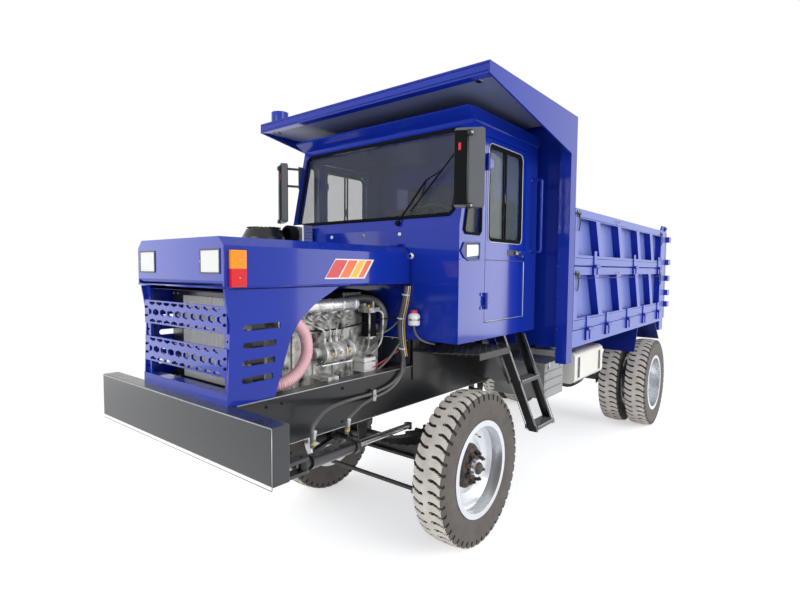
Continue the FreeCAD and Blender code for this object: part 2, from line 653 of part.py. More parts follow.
# ---- Wheels -------------------------------------------------------------------
def tyre(centre_x, y):
    """A cross-ply tyre about the X direction, its walls bulged past the tread."""
    shoulder = TYRE_RADIUS - TYRE_SHOULDER_DROP
    bulge = (TYRE_RADIUS + TYRE_BEAD_RADIUS) / 2 + 15
    side = TYRE_TREAD_HALF

    def point(x, radius):
        return Vec(x, 0, radius)

    edges = [Part.Arc(point(-side, shoulder), point(0, TYRE_RADIUS), point(side, shoulder)).toShape(),
             Part.Arc(point(side, shoulder), point(TYRE_BULGE_HALF, bulge),
                      point(TYRE_BEAD_HALF, TYRE_BEAD_TOP)).toShape(),
             Part.LineSegment(point(TYRE_BEAD_HALF, TYRE_BEAD_TOP),
                              point(TYRE_BEAD_HALF, TYRE_BEAD_RADIUS)).toShape(),
             Part.LineSegment(point(TYRE_BEAD_HALF, TYRE_BEAD_RADIUS),
                              point(-TYRE_BEAD_HALF, TYRE_BEAD_RADIUS)).toShape(),
             Part.LineSegment(point(-TYRE_BEAD_HALF, TYRE_BEAD_RADIUS),
                              point(-TYRE_BEAD_HALF, TYRE_BEAD_TOP)).toShape(),
             Part.Arc(point(-TYRE_BEAD_HALF, TYRE_BEAD_TOP), point(-TYRE_BULGE_HALF, bulge),
                      point(-side, shoulder)).toShape()]
    solid = Part.Face(Part.Wire(edges)).revolve(Vec(0, 0, 0), Vec(1, 0, 0), 360)
    solid.translate(Vec(centre_x, y, TYRE_RADIUS))
    return solid


def rim(centre_x, y, disc_side):
    """A flanged rim with a conical disc; disc_side says which way the disc is set."""
    seat = TYRE_BEAD_RADIUS - PIN_CLEARANCE
    inner = seat - RIM_WALL
    edge = TYRE_BEAD_HALF + PIN_CLEARANCE
    out = edge + RIM_FLANGE
    barrel = [(-out, inner), (out, inner), (out, RIM_FLANGE_RADIUS), (edge, RIM_FLANGE_RADIUS), (edge, seat),
              (-edge, seat), (-edge, RIM_FLANGE_RADIUS), (-out, RIM_FLANGE_RADIUS)]
    flat = disc_side * DISC_DEPTH
    wall = disc_side * DISC_WALL
    root = disc_side * (DISC_DEPTH - 70)
    disc = [(flat, SPINDLE_BORE), (flat, 165), (root, inner + 4), (root - wall, inner + 4),
            (flat - wall, 165 - DISC_WALL / 2), (flat - wall, SPINDLE_BORE)]
    shape = turned_about_x(barrel, y, TYRE_RADIUS).fuse(turned_about_x(disc, y, TYRE_RADIUS))
    shape.translate(Vec(centre_x, 0, 0))
    return shape


def hub(x0, x1, cap_x, y):
    """A bored hub from x0 to x1 with a cap that reaches cap_x."""
    step = 1 if cap_x > x0 else -1
    body = turned_about_x([(x0, SPINDLE_BORE), (x0, HUB_RADIUS), (x1, HUB_RADIUS), (x1 + step * 12, 90),
                           (x1 + step * 20, 66), (cap_x, 56), (cap_x, 0), (cap_x - step * 14, 0),
                           (cap_x - step * 14, SPINDLE_BORE)], y, TYRE_RADIUS)
    return body


def front_rim():
    disc_x = FRONT_WHEEL_X - DISC_DEPTH + 50
    return fused([rim_front_shell(), hub(KNUCKLE_WEB_X + SWING_GAP, disc_x + 45, FRONT_WHEEL_X + 70, 0)])


def rim_front_shell():
    """The steered wheel's rim, whose disc lies a little inboard of the middle."""
    seat = TYRE_BEAD_RADIUS - PIN_CLEARANCE
    inner = seat - RIM_WALL
    edge = TYRE_BEAD_HALF + PIN_CLEARANCE
    out = edge + RIM_FLANGE
    barrel = [(-out, inner), (out, inner), (out, RIM_FLANGE_RADIUS), (edge, RIM_FLANGE_RADIUS), (edge, seat),
              (-edge, seat), (-edge, RIM_FLANGE_RADIUS), (-out, RIM_FLANGE_RADIUS)]
    flat = -FRONT_DISC_INSET
    disc = [(flat, SPINDLE_BORE), (flat, 175), (flat + 30, inner + 4), (flat + 30 - DISC_WALL, inner + 4),
            (flat - DISC_WALL, 175), (flat - DISC_WALL, SPINDLE_BORE)]
    shape = turned_about_x(barrel, 0, TYRE_RADIUS).fuse(turned_about_x(disc, 0, TYRE_RADIUS))
    shape.translate(Vec(FRONT_WHEEL_X, 0, 0))
    return shape


def rear_rims():
    """Both rims of one pair, bolted disc to disc on one hub."""
    inner_x = REAR_OUTER_X - DUAL_SPACING
    pair = [rim(inner_x, WHEELBASE, 1), rim(REAR_OUTER_X, WHEELBASE, -1)]
    spacer = turned_about_x([(inner_x + DISC_DEPTH, SPINDLE_BORE), (inner_x + DISC_DEPTH, 150),
                             (REAR_OUTER_X - DISC_DEPTH, 150), (REAR_OUTER_X - DISC_DEPTH, SPINDLE_BORE)],
                            WHEELBASE, TYRE_RADIUS)
    centre = hub(REAR_AXLE_HALF + SWING_GAP, REAR_OUTER_X - DISC_DEPTH + 50, REAR_OUTER_X + 20, WHEELBASE)
    return fused(pair + [spacer, centre])


# ---- Nose, bonnet and engine ---------------------------------------------------
def nose_shell():
    """Side cheeks cut away for the engine, tied by a sill and a header."""
    arch_low_y = -1323
    cheek_edge = [Vec(0, NOSE_FRONT_Y, RAIL_TOP), Vec(0, -1564, 1500), Vec(0, -1590, NOSE_TOP),
                  Vec(0, -893, NOSE_TOP), Vec(0, -1000, 1604), Vec(0, -1079, 1561), Vec(0, -1170, 1491),
                  Vec(0, -1228, 1406), Vec(0, arch_low_y, RAIL_TOP)]
    cheek = closed_face([corner + Vec(NOSE_HALF - SHEET, 0, 0) for corner in cheek_edge])
    cheek = cheek.extrude(Vec(SHEET, 0, 0))
    for z, y0, y1 in LOUVRES:
        slot = fused([block(0, 500, y0 + 14, y1, z - 14, z + 14), x_rod(0, 500, y0 + 14, z, 14)])
        cheek = cheek.cut(slot)
    sill = block(-NOSE_HALF, NOSE_HALF, NOSE_FRONT_Y, NOSE_FRONT_Y + 12, RAIL_TOP, RAIL_TOP + SILL_HEIGHT)
    ledge = block(-NOSE_HALF, NOSE_HALF, NOSE_FRONT_Y, NOSE_FRONT_Y + 60, RAIL_TOP + SILL_HEIGHT - 10,
                  RAIL_TOP + SILL_HEIGHT)
    header = block(-NOSE_HALF, NOSE_HALF, -1560, -1500, NOSE_TOP - 14, NOSE_TOP)
    pillar = block(NOSE_HALF - 45, NOSE_HALF, PILLAR_FRONT_Y, -1545, RAIL_TOP, NOSE_TOP)
    return fused(both_sides(cheek) + both_sides(pillar) + [sill, ledge, header])


def six_sided_hole(x, z, front, back, above, below):
    """The cutter for one hole pointed at top and bottom, or for its half above or below z."""
    half = HOLE_WIDTH / 2
    tip = HOLE_HEIGHT / 2
    outline = []
    if above:
        outline += [(x + half, z + tip / 2), (x, z + tip), (x - half, z + tip / 2)]
    else:
        outline += [(x + half, z), (x - half, z)]
    if below:
        outline += [(x - half, z - tip / 2), (x, z - tip), (x + half, z - tip / 2)]
    else:
        outline += [(x - half, z), (x + half, z)]
    return cross_plate(outline, front - 1, back + 1)


def grille_bars():
    """Two pressed bars across the nose, each with a row of holes between two rows of half holes."""
    half = NOSE_HALF - SHEET - PIN_CLEARANCE
    back = PILLAR_FRONT_Y - SEAT_GAP
    front = back - GRILLE_SHEET
    bars = []
    for low, high in GRILLE_BARS_Z:
        middle = (low + high) / 2
        holes = []
        for column in range(-4, 5):
            x = column * HOLE_PITCH
            holes.append(six_sided_hole(x, high - HOLE_MARGIN, front, back, False, True))
            holes.append(six_sided_hole(x, low + HOLE_MARGIN, front, back, True, False))
            if column < 4:
                holes.append(six_sided_hole(x + HOLE_PITCH / 2, middle, front, back, True, True))
        for side in (-1, 1):
            edge = side * (4.5 * HOLE_PITCH)
            outline = [(edge, middle + HOLE_HEIGHT / 2), (edge - side * HOLE_WIDTH / 2, middle + HOLE_HEIGHT / 4),
                       (edge - side * HOLE_WIDTH / 2, middle - HOLE_HEIGHT / 4), (edge, middle - HOLE_HEIGHT / 2)]
            holes.append(cross_plate(outline, front - 1, back + 1))
        bars.append(block(-half, half, front, back, low, high).cut(Part.makeCompound(holes)))
    return Part.makeCompound(bars)


def radiator():
    """The radiator: a sunk core between two side tanks, with a filler neck on top."""
    top = NOSE_TOP - 30
    body = block(-RADIATOR_HALF, RADIATOR_HALF, RADIATOR_FRONT_Y, RADIATOR_BACK_Y, RAIL_TOP, top)
    for face in (RADIATOR_FRONT_Y, RADIATOR_BACK_Y):
        body = body.cut(block(-CORE_HALF, CORE_HALF, face - 12, face + 12, RAIL_TOP + 30, top - 20))
    neck = z_rod(top, top + 14, 0, (RADIATOR_FRONT_Y + RADIATOR_BACK_Y) / 2, 28)
    return fused([body, neck])


def fuel_filter():
    """The hanging filter with its head, its two pipes and the small box below it."""
    x, y = FILTER_X, FILTER_Y
    head = block(x - 45, x + 45, y - 48, y + 48, 1490, 1514)
    arm = block(160, x - 40, y - 25, y + 25, 1494, 1510)
    canister = z_rod(1334, 1492, x, y, 43)
    bowl = z_rod(1322, 1334, x, y, 26)
    taps = [z_rod(1514, 1540, x - 20, y - 20, 9), z_rod(1514, 1552, x + 18, y + 18, 7)]
    pipes = []
    for away in (-1, 1):
        top = Vec(x + 30, y + 40 * away, 1502)
        pipes.append(hose([top, top + Vec(30, 22 * away, -20), Vec(x + 60, y + 62 * away, 1400),
                           Vec(x + 52, y + 58 * away, 1290), Vec(x + 10, y - 30 + 14 * away, 1215)], 6))
    box = block(190, 288, -586, -484, 1130, 1222)
    lid = block(196, 294, -592, -478, 1186, 1196)
    return [head, arm, canister, bowl, box, lid] + taps + pipes


def block_ribs(y0, y1):
    """Cast ribs down both flanks of the cylinder block and a row of core plugs between them."""
    ribs = []
    for index in range(5):
        y = y0 + 60 + 150 * index
        ribs += both_sides(block(195, 210, y, y + 16, 945, 1385))
    for index in range(4):
        ribs += both_sides(x_rod(195, 207, y0 + 143 + 150 * index, CRANK_Z + 100, 26))
    return ribs


def engine():
    """The four-cylinder diesel: block, sump, head, cover, manifold and pump."""
    y0 = ENGINE_FRONT_Y
    y1 = ENGINE_BACK_Y
    shapes = [block(-200, 200, y0, y1, 930, 1400), block(-150, 150, y0 + 50, y1 - 60, 800, 930),
              block(-HEAD_HALF, HEAD_HALF, y0, y1, 1400, 1530), block(-95, 95, y0 + 30, y1 - 30, 1530, 1600),
              y_rod(y0 - 40, y0, 0, CRANK_Z, 90), y_rod(y0 - 120, y0, 0, 1260, 60),
              y_rod(y0 - 135, y0 - 105, 0, 1260, 215),
              y_rod(y1, y1 + 30, 0, CRANK_Z, 190)]
    shapes.append(y_rod(y0 + 60, y0 + 500, PLENUM_X, PLENUM_Z, 36))
    shapes.append(y_rod(y0 + 500, y0 + 512, PLENUM_X, PLENUM_Z, 26))
    shapes.append(y_rod(PUMP_Y[0], PUMP_Y[1], PUMP_X, PUMP_Z, 58))
    shapes.append(y_rod(PUMP_Y[1], PUMP_Y[1] + 40, PUMP_X - 8, PUMP_Z, 40))
    shapes.append(y_rod(PUMP_Y[0] - 45, PUMP_Y[0], PUMP_X - 8, PUMP_Z, 34))
    shapes.append(block(190, 240, PUMP_Y[0] + 10, PUMP_Y[1] - 10, PUMP_Z - 40, PUMP_Z + 40))
    for index in range(4):
        port_y = y0 + 110 + 115 * index
        shapes.append(rod(Vec(160, port_y, 1478), Vec(PLENUM_X, port_y + 30, PLENUM_Z - 10), 22))
        outlet_y = PUMP_Y[0] + 35 + 45 * index
        shapes.append(z_rod(PUMP_Z + 40, PUMP_Z + 82, PUMP_X, outlet_y, 11))
        shapes.append(hose([Vec(PUMP_X, outlet_y, PUMP_Z + 75), Vec(PUMP_X + 4, outlet_y, PUMP_Z + 125),
                            Vec(215, port_y + 62, 1445), Vec(165, port_y + 62, 1445)], 5))
    shapes += fuel_filter() + block_ribs(y0, y1)
    shapes.append(y_rod(-660, -430, 240, 1005, 46))
    shapes.append(y_rod(-640, -540, 268, 1062, 22))
    shapes.append(y_rod(y0 + 20, y0 + 170, -262, 1320, 60))
    shapes.append(block(-230, -190, y0 + 60, y0 + 130, 1290, 1350))
    shapes.append(z_rod(1600, 1618, 0, y0 + 120, 32))
    for side in (-1, 1):
        low_x, high_x = sorted((side * 190, side * (RAIL_OUTER_X - RAIL_FLANGE + 20)))
        shapes.append(block(low_x, high_x, y0 + 200, y0 + 280, RAIL_TOP, RAIL_TOP + 20))
    return fused(shapes)


def driveline():
    """Clutch housing, gearbox and the propeller shaft to the rear axle."""
    back = ENGINE_BACK_Y + 30
    bell = Part.makeCone(190, 130, 170, Vec(0, back, CRANK_Z), Vec(0, 1, 0))
    box = block(-130, 130, back + 150, back + 720, 850, 1130)
    tail = y_rod(back + 700, back + 830, 0, 960, 62)
    start = Vec(0, back + 800, 960)
    flange_y = WHEELBASE - PINION_REACH - SEAT_GAP
    nose = Vec(0, flange_y - 15, TYRE_RADIUS)
    flange = y_rod(flange_y - 30, flange_y, 0, TYRE_RADIUS, 61)
    along = (nose - start).normalize()
    shaft = rod(start, nose, 42)
    yokes = [rod(start, start + along * 110, 60), rod(nose - along * 110, nose, 60)]
    return fused([bell, box, tail, shaft, flange] + yokes)


def hood():
    """The bonnet: a folded lid with a closed front that holds the headlamps."""
    def shell(half, flat, shoulder, top, low):
        return [(-half, low), (-half, shoulder), (-flat, top), (flat, top), (half, shoulder), (half, low)]

    outer = cross_plate(shell(HOOD_HALF, HOOD_FLAT_HALF, HOOD_SHOULDER_Z, HOOD_TOP, HOOD_BOTTOM),
                        HOOD_FRONT_Y, HOOD_BACK_Y)
    half = HOOD_HALF - SHEET
    inner = cross_plate(shell(half, HOOD_FLAT_HALF - 3, HOOD_SHOULDER_Z - 5, HOOD_TOP - SHEET, HOOD_BOTTOM - 5),
                        HOOD_FRONT_Y + SHEET, HOOD_BACK_Y + 5)
    lid = outer.cut(inner)
    undercut = side_plate([(HOOD_FRONT_Y - 5, HOOD_BOTTOM - 5), (HOOD_FRONT_Y + 20, HOOD_BOTTOM - 5),
                           (HOOD_FRONT_Y - 5, 1702)], -half, half)
    lid = lid.cut(undercut)
    for x in (-LAMP_X, LAMP_X):
        lid = lid.cut(lamp_body(x, HOOD_FRONT_Y - 5, HOOD_FRONT_Y + 40, PIN_CLEARANCE))
    shapes = [lid]
    barrel = x_rod(HOOD_HINGE_X - 25, HOOD_HINGE_X + 25, HOOD_HINGE_Y, HOOD_HINGE_Z, HINGE_BARREL_RADIUS)
    leaf = block(HOOD_HINGE_X - 25, HOOD_HINGE_X + 25, HOOD_HINGE_Y - 60, HOOD_HINGE_Y,
                 HOOD_TOP, HOOD_TOP + 5)
    for shape in (barrel, leaf):
        shapes += both_sides(shape)
    lid = fused(shapes)
    for x in (-HOOD_HINGE_X, HOOD_HINGE_X):
        lid = lid.cut(x_rod(x - 40, x + 40, HOOD_HINGE_Y, HOOD_HINGE_Z, HINGE_PIN_RADIUS + PIN_CLEARANCE))
    return lid


def lamp_body(x, y0, y1, extra):
    half_w = LAMP_WIDTH / 2 + extra
    half_h = LAMP_HEIGHT / 2 + extra
    corners = [Vec(x - half_w, y0, LAMP_Z - half_h), Vec(x + half_w, y0, LAMP_Z - half_h),
               Vec(x + half_w, y0, LAMP_Z + half_h), Vec(x - half_w, y0, LAMP_Z + half_h)]
    return rounded_face(corners, 14).extrude(Vec(0, y1 - y0, 0))


def hood_lamps():
    """Two square headlamps in the front and a marker lamp on each flank."""
    lamps = [lamp_body(x, HOOD_FRONT_Y + 3, HOOD_FRONT_Y + 45, 0) for x in (-LAMP_X, LAMP_X)]
    marker = block(HOOD_HALF, HOOD_HALF + 18, -1569, -1496, 1668, 1824)
    return Part.makeCompound(lamps + both_sides(marker))


# ---- Cab ------------------------------------------------------------------------
def pillar_y(z):
    """The slanted front's Y at a height above the belt."""
    share = (z - CAB_BELT_Z) / (CAB_ROOF_Z - CAB_BELT_Z)
    return CAB_FRONT_Y + share * (CAB_ROOF_FRONT_Y - CAB_FRONT_Y)


def screen_panel(half, depth_from, depth_to):
    """A slab in the windscreen's slanted opening, by depth behind the outer face."""
    rise = CAB_ROOF_Z - CAB_BELT_Z
    lean = CAB_ROOF_FRONT_Y - CAB_FRONT_Y
    normal = Vec(0, rise, -lean).normalize()
    low_z = CAB_BELT_Z + SCREEN_LOW * rise
    high_z = CAB_BELT_Z + SCREEN_HIGH * rise
    low = Vec(-half, pillar_y(low_z), low_z) + normal * depth_from
    high = Vec(-half, pillar_y(high_z), high_z) + normal * depth_from
    across = Vec(2 * half, 0, 0)
    face = rounded_face([low, low + across, high + across, high], 30)
    return face.extrude(normal * (depth_to - depth_from))


def quarter_window(x0, x1):
    front = 45
    low_z = 1960
    high_z = DOOR_TOP_Z - 30
    corners = [Vec(x0, CAB_FRONT_Y + front, low_z), Vec(x0, DOOR_FRONT_Y - 60, low_z),
               Vec(x0, DOOR_FRONT_Y - 60, high_z), Vec(x0, pillar_y(high_z) + front, high_z)]
    return rounded_face(corners, 24).extrude(Vec(x1 - x0, 0, 0))


def rear_window(y0, y1):
    corners = [Vec(-420, y0, 1990), Vec(420, y0, 1990), Vec(420, y0, 2440), Vec(-420, y0, 2440)]
    return rounded_face(corners, 50).extrude(Vec(0, y1 - y0, 0))


def cab_shell():
    """Floor, front wall, sides and back, one wall thick, with every opening cut."""
    outline = [(CAB_FRONT_Y, CAB_FLOOR_Z), (CAB_FRONT_Y, CAB_BELT_Z), (CAB_ROOF_FRONT_Y, CAB_ROOF_Z),
               (CAB_BACK_Y, CAB_ROOF_Z), (CAB_BACK_Y, CAB_FLOOR_Z)]
    inside = [(CAB_FRONT_Y + CAB_WALL, CAB_FLOOR_Z + CAB_WALL), (CAB_FRONT_Y + CAB_WALL, CAB_BELT_Z),
              (CAB_ROOF_FRONT_Y + CAB_WALL, CAB_ROOF_Z + 1), (CAB_BACK_Y - CAB_WALL, CAB_ROOF_Z + 1),
              (CAB_BACK_Y - CAB_WALL, CAB_FLOOR_Z + CAB_WALL)]
    shell = side_plate(outline, -CAB_HALF, CAB_HALF)
    shell = shell.cut(side_plate(inside, -CAB_HALF + CAB_WALL, CAB_HALF - CAB_WALL))
    shell = shell.cut(screen_panel(SCREEN_HALF, -20, CAB_WALL + 20))
    shell = shell.cut(rear_window(CAB_BACK_Y - CAB_WALL - 5, CAB_BACK_Y + 5))
    for x0, x1 in ((CAB_HALF - CAB_WALL - 5, CAB_HALF + 5), (-CAB_HALF - 5, -CAB_HALF + CAB_WALL + 5)):
        shell = shell.cut(quarter_window(x0, x1))
        shell = shell.cut(block(x0, x1, DOOR_FRONT_Y - PANEL_GAP, DOOR_BACK_Y + DOOR_LOCK_GAP,
                                DOOR_BOTTOM_Z - PANEL_GAP, DOOR_TOP_Z + PANEL_GAP))
    additions = []
    for z in DOOR_HINGE_Z:
        pin = z_rod(z - 52, z + 52, CAB_HALF + HINGE_STAND, DOOR_FRONT_Y - 3, HINGE_PIN_RADIUS)
        for low in (z - 52, z + 32):
            knuckle_part = z_rod(low, low + 20, CAB_HALF + HINGE_STAND, DOOR_FRONT_Y - 3, HINGE_BARREL_RADIUS)
            leaf = block(CAB_HALF, CAB_HALF + 5, DOOR_FRONT_Y - 55, DOOR_FRONT_Y - 3, low, low + 20)
            additions += both_sides(knuckle_part) + both_sides(leaf)
        additions += both_sides(pin)
    for x in (HOOD_HINGE_X - 38, HOOD_HINGE_X + 28):
        ear = block(x, x + 10, HOOD_HINGE_Y, CAB_FRONT_Y, HOOD_HINGE_Z - 8, HOOD_HINGE_Z + 8)
        tip = x_rod(x, x + 10, HOOD_HINGE_Y, HOOD_HINGE_Z, HINGE_BARREL_RADIUS)
        additions += both_sides(ear) + both_sides(tip)
    hood_pin = x_rod(HOOD_HINGE_X - 38, HOOD_HINGE_X + 38, HOOD_HINGE_Y, HOOD_HINGE_Z, HINGE_PIN_RADIUS)
    additions += both_sides(hood_pin)
    return fused([shell] + additions)


def cab_roof():
    """The roof panel, with a beak over the windscreen."""
    outline = [(CAB_ROOF_FRONT_Y, CAB_ROOF_Z), (-222, 2690), (-218, 2704), (-120, CAB_ROOF_Z + ROOF_THICKNESS),
               (CAB_BACK_Y + ROOF_OVERHANG, CAB_ROOF_Z + ROOF_THICKNESS),
               (CAB_BACK_Y + ROOF_OVERHANG, CAB_ROOF_Z)]
    return side_plate(outline, -CAB_HALF - ROOF_OVERHANG, CAB_HALF + ROOF_OVERHANG)


def cab_glass():
    """Windscreen, quarter windows and rear window, each in its own opening."""
    middle = (CAB_WALL - GLASS) / 2
    panes = [screen_panel(SCREEN_HALF, middle, middle + GLASS),
             rear_window(CAB_BACK_Y - middle - GLASS, CAB_BACK_Y - middle)]
    quarter = quarter_window(CAB_HALF - middle - GLASS, CAB_HALF - middle)
    return Part.makeCompound(panes + both_sides(quarter))


def door():
    """The left door, as thick as the cab's wall, with its hinge barrels."""
    inner_x = CAB_HALF - CAB_WALL
    panel = block(inner_x, CAB_HALF, DOOR_FRONT_Y, DOOR_BACK_Y, DOOR_BOTTOM_Z, DOOR_TOP_Z)
    panel = panel.cut(door_window(inner_x - 5, CAB_HALF + 5))
    shapes = [panel]
    for z in DOOR_HINGE_Z:
        barrel = z_rod(z - 30, z + 30, CAB_HALF + HINGE_STAND, DOOR_FRONT_Y - 3, HINGE_BARREL_RADIUS)
        leaf = block(CAB_HALF, CAB_HALF + 5, DOOR_FRONT_Y - 3, DOOR_FRONT_Y + 60, z - 30, z + 30)
        shapes += [barrel, leaf]
    shapes += door_handle()
    solid = fused(shapes)
    for z in DOOR_HINGE_Z:
        solid = solid.cut(z_rod(z - 40, z + 40, CAB_HALF + HINGE_STAND, DOOR_FRONT_Y - 3,
                                HINGE_PIN_RADIUS + PIN_CLEARANCE))
    return solid


def door_window(x0, x1):
    corners = [Vec(x0, 62, 1930), Vec(x0, 532, 1930), Vec(x0, 532, 2536), Vec(x0, 62, 2536)]
    return rounded_face(corners, 20).extrude(Vec(x1 - x0, 0, 0))


def door_handle():
    plate = block(CAB_HALF, CAB_HALF + 6, 470, 550, 1835, 1885)
    grip = block(CAB_HALF + 6, CAB_HALF + 30, 490, 530, 1848, 1872)
    return [plate, grip]


def door_glass():
    middle = (CAB_WALL - GLASS) / 2
    return door_window(CAB_HALF - middle - GLASS, CAB_HALF - middle)


def seats():
    """Two seats: base box, cushion and back."""
    shapes = []
    for x in (-360, 360):
        seat_z = CAB_FLOOR_Z + SEAT_HEIGHT
        rear_y = CAB_BACK_Y - CAB_WALL - 9
        base = block(x - 190, x + 190, rear_y - 475, rear_y - 115, CAB_FLOOR_Z + CAB_WALL, seat_z - 120)
        cushion = block(x - 230, x + 230, rear_y - 525, rear_y - 45, seat_z - 120, seat_z)
        back = side_plate([(rear_y - 135, seat_z), (rear_y - 45, seat_z), (rear_y, seat_z + 620),
                           (rear_y - 80, seat_z + 620)], x - 220, x + 220)
        shapes.append(fused([base, cushion, back]))
    return Part.makeCompound(shapes)


def dashboard():
    """The shelf under the windscreen, with the steering column and wheel."""
    front = CAB_FRONT_Y + CAB_WALL
    side = CAB_HALF - CAB_WALL
    shelf = side_plate([(front, 1690), (-60, 1690), (-30, 1900), (-70, 1985), (front, 1985)], -side, side)
    hub_point = Vec(360, 120, 2010)
    column = rod(Vec(360, -90, 1860), hub_point, 26)
    wheel_axis = hub_point - Vec(360, -90, 1860)
    ring = Part.makeTorus(205, 14, hub_point, wheel_axis)
    across = wheel_axis.cross(Vec(1, 0, 0)).normalize()
    spokes = [rod(hub_point + across * -205, hub_point + across * 205, 10),
              rod(hub_point + Vec(-205, 0, 0), hub_point + Vec(205, 0, 0), 10)]
    boss = rod(hub_point - wheel_axis.normalize() * 20, hub_point + wheel_axis * 18, 45)
    return fused([shelf, column, ring, boss] + spokes)


def mirror():
    """The left mirror: a tall head on a tube bracket off the front pillar."""
    head = block(-85, 85, -22, 22, -220, 220)
    head = head.makeFillet(18, [edge for edge in head.Edges if edge.BoundBox.YLength > 10])
    head.rotate(Vec(0, 0, 0), Vec(0, 0, 1), 30)
    head.translate(MIRROR)
    root_y = MIRROR_ROOT_Y
    tube = []
    for z in (MIRROR.z + 190, MIRROR.z + 60):
        tube.append(rod(Vec(CAB_HALF - 5, root_y, z), Vec(CAB_HALF + 45, MIRROR.y + 25, z), 9))
        tube.append(rod(Vec(CAB_HALF + 45, MIRROR.y + 25, z), Vec(MIRROR.x, MIRROR.y, z), 9))
    plate = block(CAB_HALF, CAB_HALF + 8, root_y - 22, root_y + 22, MIRROR.z + 40, MIRROR.z + 210)
    tube = [shape.cut(block(0, CAB_HALF, -1000, 1000, 1000, 3000)) for shape in tube]
    return fused([head, plate] + tube)


# ---- Fenders, ladder, boxes and tanks ----------------------------------------------
def fender():
    """The left front mudguard: a flat top, a slanted tail and a turned-down edge."""
    top = 1240
    wall = 8
    inner = RAIL_OUTER_X
    outer = FENDER_OUTER_X
    tail_y = 560
    tail_z = 950
    tail_outer = LADDER_TOP_X - LADDER_CHANNEL - PANEL_GAP
    band = block(inner, outer, -260, 290, top - wall, top)
    corner = level_plate([(560, -300), (outer + 5, -300), (outer + 5, -112), (560, -246)], 900, 1300)
    tail = side_plate([(282, top), (290, top), (tail_y, tail_z), (tail_y - 8, tail_z - 6), (282, top - wall - 4)],
                      inner, tail_outer)
    tail_lip = side_plate([(282, top), (290, top), (tail_y, tail_z), (tail_y - 36, tail_z - 18), (262, top - 42)],
                          tail_outer - wall, tail_outer)
    lip = block(outer - wall, outer, -110, 290, top - 42, top)
    apron = block(inner, inner + wall, -260, 290, RAIL_TOP - 90, top)
    return fused([band.cut(corner), lip, tail, tail_lip, apron])


def ladder():
    """The left boarding ladder: two channel stringers leaning out, and two steps."""
    top = Vec(LADDER_TOP_X, LADDER_TOP_Y, CAB_FLOOR_Z)
    foot = Vec(LADDER_FOOT_X, LADDER_FOOT_Y, LADDER_FOOT_Z)
    lean = top - foot
    shapes = []
    for offset, turn in ((0, 1), (LADDER_PITCH, -1)):
        y = foot.y + offset
        half = LADDER_CHANNEL
        channel = [(foot.x - half, y), (foot.x + half, y), (foot.x + half, y + turn * 25),
                   (foot.x + half - 5, y + turn * 25), (foot.x + half - 5, y + turn * 5),
                   (foot.x - half + 5, y + turn * 5), (foot.x - half + 5, y + turn * 25),
                   (foot.x - half, y + turn * 25)]
        face = closed_face([Vec(x, place, foot.z) for x, place in channel])
        shapes.append(face.extrude(lean))
    for share in (0.02, 0.50):
        middle = foot + lean * share
        shapes.append(block(middle.x - 55, middle.x + 40, middle.y + 3, middle.y + LADDER_PITCH - 3,
                            middle.z, middle.z + 25))
    return fused(shapes)


def battery_box():
    """A sheet box on the rail, closed by a lid that laps over its sides."""
    box = block(RAIL_OUTER_X, BOX_OUTER_X - 4, BOX_FRONT_Y + 4, BOX_BACK_Y - 4, BOX_BOTTOM, BOX_TOP - 2)
    lid = block(RAIL_OUTER_X, BOX_OUTER_X, BOX_FRONT_Y, BOX_BACK_Y, BOX_TOP - 40, BOX_TOP)
    return fused([box, lid])


def side_tank():
    inner = RAIL_OUTER_X + BRACKET_LEG + 2 * SEAT_GAP
    corners = [Vec(inner, TANK_FRONT_Y, TANK_BOTTOM), Vec(TANK_OUTER_X, TANK_FRONT_Y, TANK_BOTTOM),
               Vec(TANK_OUTER_X, TANK_FRONT_Y, TANK_TOP), Vec(inner, TANK_FRONT_Y, TANK_TOP)]
    tank = rounded_face(corners, 45).extrude(Vec(0, TANK_BACK_Y - TANK_FRONT_Y, 0))
    neck = z_rod(TANK_TOP - 5, TANK_TOP + 35, (inner + TANK_OUTER_X) / 2, TANK_FRONT_Y + 110, 42)
    return fused([tank, neck])


def air_cleaner():
    """The dry air cleaner ahead of the cab, with its rain cap and duct."""
    x = AIR_CLEANER_X
    y = AIR_CLEANER_Y
    shapes = [z_rod(1480, 1950, x, y, 130), Part.makeCone(152, 120, 60, Vec(x, y, 1962), Vec(0, 0, 1)),
              z_rod(1945, 1965, x, y, 152), z_rod(2022, 2032, x, y, 90),
              block(x - 30, x + 30, y + 110, CAB_FRONT_Y, 1700, 1740),
              block(x - 30, x + 30, y + 110, CAB_FRONT_Y, 1540, 1580),
              x_rod(x, -HEAD_HALF - SEAT_GAP, y, DUCT_Z, 48)]
    return fused(shapes)


def exhaust():
    """Down pipe, silencer and tail pipe inside the frame's right rail."""
    x = -245
    silencer = y_rod(1350, 2150, x, 800, 78)
    front = hose([Vec(x, -760, 1500), Vec(x, -760, 1180), Vec(x, -420, 1000), Vec(x, 300, 800), Vec(x, 1360, 800)],
                 28)
    tail = y_rod(2140, 2900, x, 800, 28)
    hanger_top = RAIL_TOP - RAIL_DEPTH / 2 - CROSS_TUBE_RADIUS - SEAT_GAP
    hanger = [block(x - 20, x + 20, y - 6, y + 6, 810, hanger_top) for y in CROSS_TUBES_Y[2:4]]
    return fused([silencer, front, tail] + hanger)


